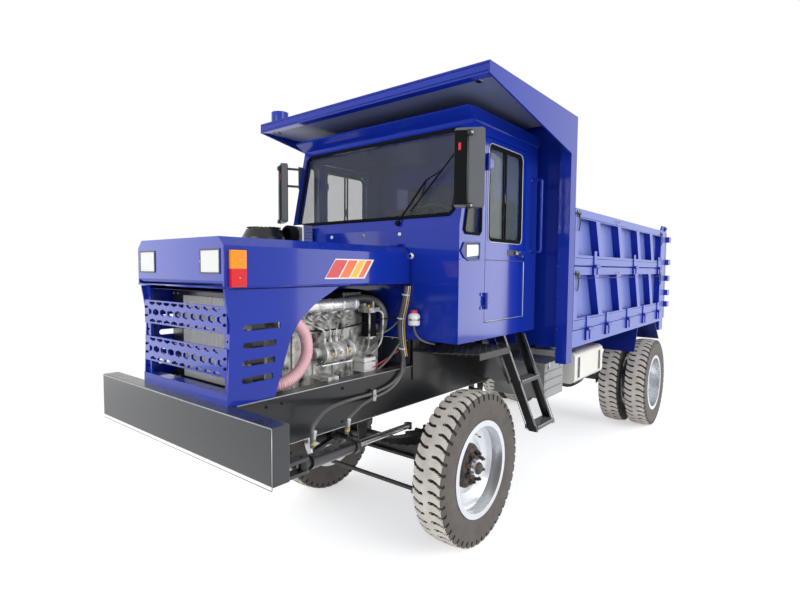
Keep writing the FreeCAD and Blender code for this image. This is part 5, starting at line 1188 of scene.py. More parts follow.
# ---------------------------------------------------------------- cab
@dataclass
class CabTrim:
    """Gaskets, the wiper, handles, footholds and pressed bands of the cab."""

    half: float = 746.0
    front: float = -277
    belt: float = 1998
    lean: float = 137
    rise: float = 646

    def build(self) -> None:
        """Dresses the cab's outside."""
        self.screen_gasket()
        self.wipers()
        self.grab_handles()
        self.quarter_gaskets()
        self.side_pockets()
        self.wall_screws()
        self.roof_bands()
        self.splash_panel()

    def screen_point(self, x: float, share: float, out: float) -> Vector:
        """A point on the slanted windscreen wall.

        Args:
            x: distance to the left in millimetres.
            share: height from the belt to the roof, from 0 to 1.
            out: distance ahead of the wall in millimetres.

        Returns:
            The place in the frame.
        """
        y, z = self.front + self.lean * share, self.belt + self.rise * share
        normal = Vector((-self.rise, self.lean)).normalized()
        return at(x, y + normal.x * out, z + normal.y * out)

    def screen_gasket(self) -> None:
        """The rubber strip round the windscreen."""
        draft = Draft("windscreen_gasket")
        half, low, high = 690, 0.118, 0.924
        corner, wall = 26, 660
        ring = []
        for x, share, dx, ds in ((half, low, -1, 1), (half, high, -1, -1),
                                 (-half, high, 1, -1), (-half, low, 1, 1)):
            ends = [(x + dx * corner, share), (x, share + ds * corner / wall)]
            if (share == low) != (x > 0):
                ends.reverse()
            ring += [self.screen_point(*end, 3) for end in ends]
        ring.append(ring[0])
        draft.path(ring, 0.011, BLACK_GASKET, 8)
        draft.place("chassis", "black_rubber")

    def wipers(self) -> None:
        """One long arm with its blade resting on the glass."""
        draft = Draft("wipers")
        pivot, tip = 290, 660
        end = self.screen_point((pivot + tip) / 2, 0.46, 16)
        draft.rod(self.screen_point(pivot, 0.06, -2), self.screen_point(pivot, 0.06, 24), 0.016, BLACK_GASKET)
        draft.path([self.screen_point(pivot, 0.06, 14), end], 0.006, BLACK_GASKET)
        heel, toe = self.screen_point(pivot + 90, 0.17, 9), self.screen_point(tip, 0.70, 9)
        draft.path([heel, toe], 0.005, BLACK_GASKET)
        draft.path([heel.lerp(toe, 0.25), end, heel.lerp(toe, 0.7)], 0.004, BLACK_GASKET)
        draft.place("chassis", "black_rubber")

    def grab_handles(self) -> None:
        """A long blue tube handle behind each door, stood well off the wall."""
        draft = Draft("grab_handles")
        x, y = self.half + 72, 696
        bends = ((self.half, 1880), (x - 30, 1880), (x, 1882), (x, 1915), (x, 2355), (x, 2390), (x - 30, 2392),
                 (self.half, 2392))
        draft.path([at(out, y, z) for out, z in bends], 0.0115, BLUE_ENAMEL, 16, rounds=3)
        for z in (1886, 2388):
            draft.turned(at(self.half, y, z), OUT, [(0, 0.026), (0.005, 0.026), (0.006, 0.024)], BLUE_ENAMEL, 24)
            for dy in (-18, 18):
                draft.bolt(at(self.half + 5, y + dy, z), OUT, 0.0035, ZINC)
        draft.mirror()
        draft.place("chassis", "blue_paint")

    def quarter_gaskets(self) -> None:
        """The rubber strip round each fixed quarter window ahead of the doors."""
        draft = Draft("quarter_gaskets")
        x = self.half + 2
        ring = [(-228, 1984), (-212, 1966), (-54, 1966), (-34, 1984), (-34, 2517), (-54, 2537), (-96, 2537),
                (-114, 2520), (-228, 1984)]
        draft.path([at(x, y, z) for y, z in ring], 0.009, BLACK_GASKET, 10)
        draft.mirror()
        draft.place("chassis", "black_rubber")

    def splash_panel(self) -> None:
        """A pressed black panel under the cab's front wall, behind the engine."""
        draft = Draft("cab_splash_panel")
        draft.box(at(-384, -262, 1146), at(384, -258, 1306), UNDERCOAT)
        for x in (-280, -140, 0, 140, 280):
            draft.box(at(x - 12, -268, 1160), at(x + 12, -262, 1292), UNDERCOAT, 0.003)
        for x in range(-360, 361, 120):
            draft.bolt(at(x, -262, 1298), AHEAD, 0.006, ZINC)
        draft.place("chassis", "frame_paint", bevel=0.001)

    def side_pockets(self) -> None:
        """A hooded foothold pressed in the wall ahead of each door, its hollow in the shaded blue as painted shade,
        with a bright plate in it.
        """
        draft = Draft("side_pockets")
        x = self.half
        outline = [(-268, 1858), (-232, 1912), (-44, 1921), (-44, 1806), (-180, 1800), (-236, 1824)]
        inner = [(-140 + (y + 140) * 0.86, 1860 + (z - 1860) * 0.82) for y, z in outline]
        rings = ((-1, outline), (8, outline), (8, inner), (2, inner))
        draft.loft([[at(x + out, y, z) for y, z in ring] for out, ring in rings], SHADED_BLUE_ENAMEL)
        plate = ((-200, 1895), (-64, 1902), (-64, 1836), (-200, 1824))
        draft.prism([at(x + 2, y, z) for y, z in plate], Vector((0.004, 0, 0)), SILVER_FRAME)
        draft.mirror()
        draft.place("chassis", "blue_paint", bevel=0.0012)

    def wall_screws(self) -> None:
        """White plugs and a push button on the front wall, and the swage lines on the sides."""
        draft = Draft("cab_screws")
        for x, z in ((306, 1970), (0, 1968)):
            draft.turned(at(x, self.front, z), AHEAD, [(0, 0.012), (0.004, 0.012), (0.009, 0.006)],
                         WHITE_PLASTIC, 20)
        draft.turned(at(400, self.front, 1832), AHEAD,
                     [(0, 0.021), (0.004, 0.021), (0.010, 0.017), (0.012, 0.010)], SILVER_FRAME, 28)
        draft.turned(at(400, self.front - 12, 1832), AHEAD, [(0, 0.008), (0.003, 0.007)], BLACK_GASKET, 20)
        for front, rear in ((-270, 20), (590, 780)):
            draft.box(at(self.half, front, 1806), at(self.half + 3, rear, 1812), BLUE_ENAMEL)
        draft.mirror()
        draft.place("chassis", "blue_paint", bevel=0.0004)

    def roof_bands(self) -> None:
        """Two pressed bands over the windscreen in the shaded blue as painted shade, and the gutter along the roof.
        """
        draft = Draft("roof_bands")
        for z in (2654, 2668):
            draft.box(at(-700, -143, z), at(700, -139, z + 5), SHADED_BLUE_ENAMEL)
        for sign in (-1, 1):
            draft.path(straight(748 * sign, (-130, 320, 770), 2640), 0.006, BLUE_ENAMEL, 10)
        draft.place("chassis", "blue_paint", bevel=0.0008)


@dataclass
class MirrorTrim:
    """Mirror glasses, the ribs on the heads' backs and the clamps that hold them on their tubes."""

    spot: Place = (820.0, -300.0, 2318.0)
    turn: float = 30.0

    def build(self) -> None:
        """Dresses both mirrors."""
        for side in Side:
            self.arms(side)
            self.glass(side)

    def along(self, side: Side, across: float, deep: float, up: float) -> Vector:
        """A point given in the mirror head's own directions.

        Args:
            side: which mirror.
            across: along the head's width, outwards.
            deep: ahead of the head's middle.
            up: above the head's middle.

        Returns:
            The place in the frame.
        """
        turn = math.radians(self.turn)
        x = self.spot[0] + across * math.cos(turn) + deep * math.sin(turn)
        y = self.spot[1] + across * math.sin(turn) - deep * math.cos(turn)
        return at(x * side.value, y, self.spot[2] + up)

    def face(self, side: Side, deep: float, outline: Iterable[Span]) -> list[Vector]:
        """An outline across the mirror head, at a depth ahead of its middle."""
        return [self.along(side, across, deep, up) for across, up in outline]

    def plate(self, draft: Draft, side: Side, deep: float, front: float, outline: Iterable[Span],
              finish: Finish) -> None:
        """A flat plate across the mirror head.

        Args:
            draft: the mesh that gets it.
            side: which mirror.
            deep: depth of its rear face ahead of the head's middle.
            front: depth of its front face.
            outline: its outline, across and up.
            finish: its finish.
        """
        run = self.along(side, 0, front, 0) - self.along(side, 0, deep, 0)
        draft.prism(self.face(side, deep, outline), run, finish)

    def glass(self, side: Side) -> None:
        """The silvered glass in its rubber rim, with the ribs and the red lens on the head's back."""
        draft = Draft(f"mirror_glass_{side.word}")
        self.plate(draft, side, -24, -21, ((-70, -205), (70, -205), (70, 205), (-70, 205)), CHROME)
        rim = ((-74, -200), (-66, -211), (66, -211), (74, -200), (74, 200), (66, 211), (-66, 211), (-74, 200),
               (-74, -200))
        draft.path(self.face(side, -23, rim), 0.005, BLACK_GASKET, 8)
        self.plate(draft, side, 21, 26, ((-84, -205), (-12, -205), (-12, 205), (-84, 205)), BLACK_GASKET)
        draft.path([self.along(side, -10, deep, up) for deep, up in ((24, -196), (27, 0), (24, 196))], 0.005,
                   GREY_MOULDING, 10)
        low = self.along(side, -62, 27, 96)
        draft.box(low, low + Vector((0.014, 0.006, 0.04)), RED_LENS)
        draft.place("chassis", "black_rubber")

    def arms(self, side: Side) -> None:
        """The rubber-bushed clamps that hold the head on its tube."""
        draft = Draft(f"mirror_arms_{side.word}")
        sign = side.value
        for up in (-212, 190):
            spot = self.along(side, 0, 24, up)
            draft.turned(spot + DOWN * 0.014, UP, [(0, 0.017), (0.028, 0.017)], BLACK_FORGING, 16)
            draft.bolt(spot + Vector((0.016 * sign, -0.004, 0)), Vector((sign, -0.4, 0)), 0.006, ZINC)
        draft.place("chassis", "black_rubber")


@dataclass
class DoorTrim:
    """What the doors carry: window frames, sliding panes' bars, paddles and hinge leaves."""

    def build(self) -> None:
        """Dresses both doors."""
        for side in Side:
            self.window(side)
            self.paddle(side)
            self.hinges(side)

    def window(self, side: Side) -> None:
        """A thin bright frame outside black rubber, with the black bars of the sliding pane."""
        draft = Draft(f"door_window_{side.word}")
        sign = side.value
        y0, y1, z0, z1 = 62, 532, 1930, 2536
        cut = 38
        turn = cut * 0.3
        for inset, x, radius, finish in ((-5, 747, 0.0035, SILVER_FRAME), (6, 744, 0.0075, BLACK_GASKET),
                                         (17, 738, 0.006, BLACK_GASKET)):
            a, b, c, d = y0 + inset, y1 - inset, z0 + inset, z1 - inset
            ring = [(a + cut, c), (b - cut, c), (b - turn, c + turn), (b, c + cut), (b, d - cut),
                    (b - turn, d - turn), (b - cut, d), (a + cut, d), (a + turn, d - turn), (a, d - cut),
                    (a, c + cut), (a + turn, c + turn), (a + cut, c)]
            draft.path([at(x * sign, y, z) for y, z in ring], radius, finish, 8)
        for y in (285, 316):
            draft.block((728 * sign, 736 * sign), (y - 7, y + 7), (z0 + 12, z1 - 12), BLACK_GASKET)
        draft.block((729 * sign, 739 * sign), (296, 306), (2190, 2250), GREY_MOULDING)
        draft.place(f"{side.word}_door", "black_rubber", bevel=0.0008)

    def paddle(self, side: Side) -> None:
        """A bright pull handle over a dark dish, its lock barrel, and the door's bright seams."""
        draft = Draft(f"door_paddle_{side.word}")
        sign = side.value
        for x0, x1, y, z, finish in ((745, 748, (332, 466), (1846, 1886), UNDERCOAT),
                                     (752, 764, (430, 546), (1852, 1878), CHROME),
                                     (752, 757, (470, 554), (1842, 1851), UNDERCOAT)):
            draft.block((x0 * sign, x1 * sign), y, z, finish)
        draft.turned(at(752 * sign, 548, 1845), side.out, [(0, 0.008), (0.005, 0.008), (0.006, 0.006)], ZINC, 20)
        seam = 748.5 * sign
        draft.path(straight(seam, 576, (1806, 1600, 1425)), 0.0028, SILVER_FRAME, 8)
        draft.path(straight(seam, (576, 300, 34), 1422), 0.0028, SILVER_FRAME, 8)
        draft.block((742 * sign, 749 * sign), (36, 571), (1808, 1813), UNDERCOAT)
        draft.place(f"{side.word}_door", "blue_paint", bevel=0.0006)

    def hinges(self, side: Side) -> None:
        """The leaf of each hinge, with its four screws."""
        draft = Draft(f"door_hinges_{side.word}")
        sign = side.value
        for z in (1554, 2414):
            draft.block((745 * sign, 750 * sign), (42, 112), (z - 26, z + 26), BLUE_ENAMEL)
            for y in (58, 96):
                for up in (-15, 15):
                    draft.bolt(at(750 * sign, y, z + up), side.out, 0.0042, ZINC)
        draft.place(f"{side.word}_door", "blue_paint", bevel=0.0008)


@dataclass
class CanopyTrim:
    """The pale lining under the canopy, painted light for the light under it, with its lamp openings, and the weld
    beads and gusset bolts.
    """

    under: float = 2783.0

    def build(self) -> None:
        """Dresses the canopy from below and over the cab."""
        self.lining()
        self.studs()

    def lining(self) -> None:
        """A flat pale panel below the sheet, its pale grey painted light for the light bounced up under the
        canopy, with its screws and an oval lamp opening near each front corner."""
        draft = Draft("canopy_lining_painted_light")
        z = self.under + 5
        draft.box(at(-966, -366, z), at(966, 772, z + 3), LINING_ENAMEL)
        for x in (-865, 865):
            for dy in (-9, 9):
                draft.turned(at(x, -290 + dy, z + 0.5), DOWN, [(0, 0.021), (0.002, 0.021), (0.0025, 0.015)],
                             ZINC, 24)
                draft.turned(at(x, -290 + dy, z - 1.6), DOWN, [(0, 0.014), (0.0015, 0.012)], BLACK_GASKET, 20)
        for x in range(-900, 901, 200):
            for y in (-345, 200, 750):
                draft.turned(at(x, y, z + 0.5), DOWN, [(0, 0.006), (0.0025, 0.005)], ZINC, 12)
        draft.place("bed", "blue_paint")

    def studs(self) -> None:
        """Weld beads at the folded lips and bolts at the corner gussets."""
        draft = Draft("canopy_studs")
        for z in (self.under + 14, 2836):
            draft.path(straight((-975, 0, 975), -381, z), 0.0025, BLUE_ENAMEL, 6)
        for z in (1140, 1320, 1560, 1780, 2020, 2260, 2500):
            draft.bolt(at(904, 815, z), AHEAD, 0.008, BLUE_ENAMEL)
        draft.mirror()
        draft.place("bed", "blue_paint")


@dataclass
class BedTrim:
    """Latches, rope hooks, seams, weld beads and tail lamps of the load bed and its gates."""

    face: float = 982.0
    ends: Place = (945, 2300, 3668)
    latches: Span = (985, 3628)

    def build(self) -> None:
        """Dresses the gates, the bed's frame and its tail."""
        for side in Side:
            self.gate("upper", side, 2166, (2146, 1842), (1953, 2168))
            self.gate("lower", side, 1724, (1376, 1690), (2003, 1720))
        self.frame_beads()
        self.tail()

    def latch(self, draft: Draft, side: Side, y: float, z: float) -> None:
        """A small black slide bolt with its keeper plate, two guides and a bent pull.

        Args:
            draft: the mesh that gets it.
            side: the gate's side.
            y: its middle behind the front axle.
            z: its height.
        """
        sign = side.value
        face = self.face * sign
        draft.block((face, face + 3 * sign), (y - 34, y + 34), (z - 24, z + 24), WORN_BLACK_ENAMEL, 0.003)
        slide = face + 6 * sign
        draft.rod(at(slide, y - 48, z), at(slide, y + 36, z), 0.0055, BLACK_FORGING, 14)
        for dy in (-24, 24):
            draft.turned(at(slide, y + dy - 4, z), BACK, [(0, 0.0075), (0.008, 0.0075)], WORN_BLACK_ENAMEL, 16)
            for up in (-17, 17):
                draft.bolt(at(face + 3 * sign, y + dy, z + up), side.out, 0.0035, ZINC)
        pull = ((8, 2, 0), (9, 10, -40), (9, 14, -80), (9, 2, -118), (9, -10, -124))
        draft.path(self.bent(side, y, z, pull), 0.0048, BLACK_FORGING, 8, rounds=2)

    def bent(self, side: Side, y: float, z: float, bends: Iterable[Place]) -> list[Vector]:
        """The points of a bent rod on a gate.

        Args:
            side: the gate's side.
            y: the rod's middle behind the front axle.
            z: its height.
            bends: its bends as distances out, back and up from there.

        Returns:
            The bends' places.
        """
        return [at((self.face + out) * side.value, y + back, z + up) for out, back, up in bends]

    def gate(self, level: str, side: Side, height: float, seams: Span, hook: Span) -> None:
        """One gate's latches, the seams under its rails and its rope hook of bent rod.

        Args:
            level: upper or lower.
            side: the gate's side.
            height: height of its latches.
            seams: heights of its seams.
            hook: the hook's middle behind the front axle, and its height.
        """
        draft = Draft(f"{level}_gate_trim_{side.word}")
        for y in self.latches:
            self.latch(draft, side, y, height)
        face = (self.face + 0.5) * side.value
        for z in seams:
            draft.path(straight(face, self.ends, z), 0.0022, BLUE_ENAMEL, 6)
        bends = ((0, -45, 12), (11, -45, 8), (11, -40, -14), (11, 40, -14), (11, 45, 12), (0, 45, 16))
        draft.path(self.bent(side, *hook, bends), 0.0035, WORN_EDGE_AND_HIGHLIGHT, 8, rounds=2)
        draft.place(f"{level}_gate_{side.word}", "blue_paint")

    def frame_beads(self) -> None:
        """Weld beads where the cross members meet the long ones."""
        draft = Draft("bed_weld_beads")
        for step in range(9):
            y = 1080 + step * 310
            for x in (-460, 460):
                draft.path(route((x, y - 30, 1296), (x, y, 1294), (x, y + 30, 1296)), 0.004, UNDERCOAT, 8)
        draft.place("bed", "frame_paint")

    def tail(self) -> None:
        """Tail lamps on black backing plates under the bed's rear corners."""
        draft = Draft("tail_lamps")
        for sign in (-1, 1):
            x = 700 * sign
            draft.box(at(x - 95, 3668, 1176), at(x + 95, 3676, 1250), BLACK_GASKET, 0.004)
            for dx, finish in ((-60, RED_LENS), (0, AMBER_LENS), (60, WHITE_LENS)):
                draft.box(at(x + dx - 26, 3676, 1184), at(x + dx + 26, 3694, 1242), finish, 0.003)
                for step in range(5):
                    z = 1190 + step * 11.5
                    draft.rod(at(x + dx - 24, 3694, z), at(x + dx + 24, 3694, z), 0.002, finish, 6)
        draft.place("bed", "lamp_lens", bevel=0.0008)


@dataclass
class EngineTrim:
    """Fastenings, sleeves, filters and wiring on the open left flank of the engine."""

    ports: int = 4
    pitch: float = 115.0
    first: float = -1020.0
    log: Span = (252, 1545)
    pump_axis: Span = (262, 1282)

    def build(self) -> None:
        """Dresses the engine."""
        self.intake()
        self.pump()
        self.filter()
        self.block_bolts()
        self.shaded_rocker_cover()
        self.wires()
        self.hose_ends()

    def port_y(self, index: int) -> float:
        """Y of an intake port's middle, in millimetres."""
        return self.first + self.pitch * index

    def intake(self) -> None:
        """Polished sleeves over the intake log and its runners, with flanges and bolts."""
        draft = Draft("intake_sleeves")
        x, z = self.log
        draft.turned(at(x, -1071, z), BACK, [(0, 0.026), (0.006, 0.0345), (0.014, 0.0365), (0.42, 0.0365),
                                             (0.434, 0.0345), (0.442, 0.026)], SAND_CAST_ALUMINIUM, 40)
        for index in range(5):
            draft.turned(at(x, -1042 + index * 96, z), BACK,
                         [(0, 0.0365), (0.003, 0.040), (0.011, 0.040), (0.014, 0.0365)], SAND_CAST_ALUMINIUM, 40,
                         capped=False)
        for index in range(self.ports):
            y = self.port_y(index)
            start, end = at(166, y, 1480.5), at(240, y + 26, 1529)
            draft.bead(start, end, 0.0228, SAND_CAST_ALUMINIUM, 24)
            draft.turned(start - OUT * 0.004, end - start, [(0, 0.036), (0.010, 0.036), (0.012, 0.033)],
                         SAND_CAST_ALUMINIUM, 24)
            for dy, dz in ((-28, 12), (28, -12), (28, 12), (-28, -12)):
                draft.bolt(at(176, y + dy, 1484 + dz), Vector((1, 0.1, 0.4)), 0.0062, ZINC)
        draft.turned(at(x, -1074, z), AHEAD, [(-0.006, 0.040), (0.004, 0.040), (0.006, 0.037)],
                     SAND_CAST_ALUMINIUM, 32)
        for c, s in circle(4, 0.5):
            draft.bolt(at(x + 30 * c, -1080, z + 30 * s), AHEAD, 0.005, ZINC)
        draft.place("chassis", "core_metal")

    def pump(self) -> None:
        """Clamping rings, end bolts, plugs, pipe nuts and the foot of the injection pump."""
        draft = Draft("pump_fittings")
        x, z = self.pump_axis
        for y in (-919, -858, -812, -766, -702):
            draft.turned(at(x, y, z), BACK, [(0, 0.0585), (0.002, 0.0612), (0.008, 0.0612), (0.010, 0.0585)],
                         SAND_CAST_ALUMINIUM, 40, capped=False)
        for c, s in circle(6):
            for y, axis in ((-923, AHEAD), (-697, BACK)):
                draft.bolt(at(x + 46 * c, y, z + 46 * s), axis, 0.0058, ZINC)
        for index in range(4):
            draft.nut(at(x, -885 + 45 * index, 1356), UP, [(0, 0.011), (0.014, 0.011), (0.017, 0.008)], ZINC)
            draft.nut(at(165, self.port_y(index) + 62, 1441), Vector((0.5, 0, 1)),
                      [(0, 0.009), (0.016, 0.009)], ZINC)
        for y in (-880, -810, -740):
            draft.nut(at(318, y, z), OUT, [(0, 0.010), (0.004, 0.010), (0.009, 0.007)], BRASS)
        draft.box(at(240, -930, 1214), at(290, -690, 1222), SAND_CAST_ALUMINIUM)
        draft.place("chassis", "core_metal", bevel=0.0006)

    def filter(self) -> None:
        """The fuel filter's black canister, bright head fittings and the label-free white case."""
        draft = Draft("fuel_filter_dressing")
        x, y = 250, -503
        draft.turned(at(x, y, 1336), UP, [(0, 0.040), (0.006, 0.0438), (0.148, 0.0438), (0.154, 0.041)],
                     BLACK_GASKET, 40)
        for c, s in circle(12):
            rib_x, rib_y = x + 44 * c, y + 44 * s
            draft.rod(at(rib_x, rib_y, 1340), at(rib_x, rib_y, 1372), 0.0028, BLACK_GASKET, 8)
        for dx, dy in ((-32, 0), (32, 0), (0, -24), (0, 24)):
            draft.bolt(at(x + dx, y + dy, 1514), UP, 0.0075, ZINC)
        draft.nut(at(x, y, 1514), UP, [(0, 0.012), (0.016, 0.012), (0.020, 0.009)], BRASS)
        draft.box(at(189, -587, 1131), at(291, -483, 1214), WHITE_PLASTIC, 0.004)
        for y in (-574, -496):
            for x in (200, 280):
                draft.bolt(at(x, y, 1230), UP, 0.005, ZINC)
        for z in (1150, 1172, 1194):
            draft.rod(at(291, -576, z), at(291, -494, z), 0.0025, WHITE_PLASTIC, 8)
        draft.place("chassis", "core_metal", bevel=0.0008)

    def block_bolts(self) -> None:
        """Head, sump and cover bolts along the flank, and the low cylinder's bolts and end bands."""
        draft = Draft("engine_bolts")
        for index in range(9):
            y = -1060 + index * 58
            draft.bolt(at(152, y, 1400), OUT, 0.0068, ZINC)
            draft.bolt(at(152, y, 1015), OUT, 0.0058, ZINC)
        for index in range(self.ports):
            y = self.port_y(index) + 40
            for x in (-60, 60):
                draft.bolt(at(x, y, 1602), UP, 0.008, ZINC)
        x, z = 240, 1005
        for c, s in circle(6):
            draft.bolt(at(x + 36 * c, -662, z + 36 * s), AHEAD, 0.005, ZINC)
        for y in (-640, -470):
            draft.turned(at(x, y, z), BACK, [(0, 0.0465), (0.004, 0.048), (0.012, 0.048), (0.016, 0.0465)],
                         ZINC, 40, capped=False)
        draft.place("chassis", "core_metal")

    def shaded_rocker_cover(self) -> None:
        """A pressed rocker cover over the head, black as painted shade under the bonnet, with a bead round it and
        the dark hoses behind.
        """
        draft = Draft("shaded_rocker_cover")
        # The cover's black is painted shade for the bonnet's shadow over the head.
        draft.box(at(-99, -1104, 1532), at(99, -566, 1604), BLACK_GASKET, 0.012)
        draft.box(at(-104, -1108, 1530), at(104, -562, 1538), BLACK_GASKET, 0.012)
        draft.turned(at(0, -1010, 1616), UP, [(0, 0.034), (0.010, 0.034), (0.014, 0.028)], BLACK_GASKET, 12,
                     smooth=False)
        draft.path(route((120, -560, 1560), (200, -440, 1570), (262, -400, 1520), (284, -390, 1430),
                         (262, -420, 1330), (200, -470, 1280)), 0.024, SHEEN_GREY_HOSE_RUBBER, 20, rounds=3)
        draft.path(route((-60, -560, 1590), (20, -440, 1610), (140, -360, 1590), (220, -310, 1500)), 0.018,
                   BLACK_GASKET, 16, rounds=3)
        draft.place("chassis", "black_rubber")

    def wires(self) -> None:
        """Thin wires and white ties on the loom, loose runs across the flank, and a zinc clamp."""
        draft = Draft("wiring")
        trunk = [(382, -290, 1645), (366, -290, 1540), (334, -290, 1420), (342, -292, 1310), (370, -302, 1205)]
        for dx, dy, finish in ((-21, 4, SHEEN_GREY_HOSE_RUBBER), (-19, -10, BLACK_GASKET), (19, -12, WHITE_PLASTIC),
                               (22, 2, YELLOW_FILM)):
            draft.path([at(x + dx, y + dy, z) for x, y, z in trunk], 0.0032, finish, 8, rounds=2)
        for x, y, z in ((371, -294, 1590), (331, -294, 1440), (350, -299, 1250)):
            draft.turned(at(x, y, z - 4), Vector((0.15, 0, 1)), [(0, 0.0255), (0.008, 0.0255)], WHITE_PLASTIC, 24)
            draft.box(at(x + 20, y - 28, z - 5), at(x + 27, y - 20, z + 5), WHITE_PLASTIC)
        for radius, sides, finish, bends in (
                (0.0042, 8, BLACK_GASKET, ((165, -1020, 1440), (205, -960, 1405), (215, -860, 1400),
                                           (225, -700, 1402), (300, -520, 1440), (330, -330, 1450))),
                (0.0075, 10, SHEEN_GREY_HOSE_RUBBER, ((255, -640, 1040), (300, -560, 1100), (330, -420, 1180),
                                           (344, -310, 1290))),
                (0.0036, 8, RED_PLASTIC, ((243, -650, 1052), (270, -600, 1130), (300, -480, 1160),
                                          (338, -316, 1240))),
                (0.0052, 10, SHEEN_GREY_HOSE_RUBBER, ((250, -503, 1360), (300, -450, 1350), (325, -380, 1380),
                                           (330, -320, 1420)))):
            draft.path(route(*bends), radius, finish, sides, rounds=2)
        for low, high in ((998, 1028), (1030, 1062)):
            draft.box(at(404, -664, low), at(437, -640, high), ZINC, 0.006)
        draft.bolt(at(437, -652, 1029), OUT, 0.007, ZINC)
        draft.place("chassis", "black_rubber")
        self.header_tank()

    def header_tank(self) -> None:
        """The white fluid reservoir with its red cap, strap and hose."""
        draft = Draft("fluid_reservoir")
        x, y = 458, -320
        draft.turned(at(x, y, 1405), UP, [(0, 0.028), (0.006, 0.036), (0.060, 0.036), (0.070, 0.031),
                                          (0.076, 0.018), (0.082, 0.018)], WHITE_PLASTIC, 40)
        draft.turned(at(x, y, 1482), UP, [(0, 0.0205), (0.014, 0.0205), (0.018, 0.016)], RED_PLASTIC, 16,
                     smooth=False)
        draft.turned(at(x, y, 1436), UP, [(0, 0.0368), (0.012, 0.0368)], ZINC, 40)
        draft.box(at(x - 12, y + 30, 1430), at(x + 12, y + 44, 1454), ZINC)
        draft.path(route((x, y, 1408), (x + 4, y, 1360), (500, -300, 1310), (560, -240, 1290)), 0.007, SHEEN_GREY_HOSE_RUBBER,
                   10, rounds=2)
        draft.place("chassis", "black_rubber", bevel=0.0006)

    def hose_ends(self) -> None:
        """Crimped sleeves and brass nuts on the steering hoses."""
        draft = Draft("hose_sleeves")
        axis = Vector((0, 0.2, 1)).normalized()
        for seat in route((698.8, -1368.9, 976.9), (606.9, -1060.9, 943.1)):
            draft.nut(seat, axis, [(0.012, 0.013), (0.028, 0.013)], BRASS)
            draft.turned(seat + axis * 0.028, axis, [(0, 0.0115), (0.045, 0.0115), (0.048, 0.010)], ZINC, 24)
        draft.place("steering_cylinder", "frame_paint")


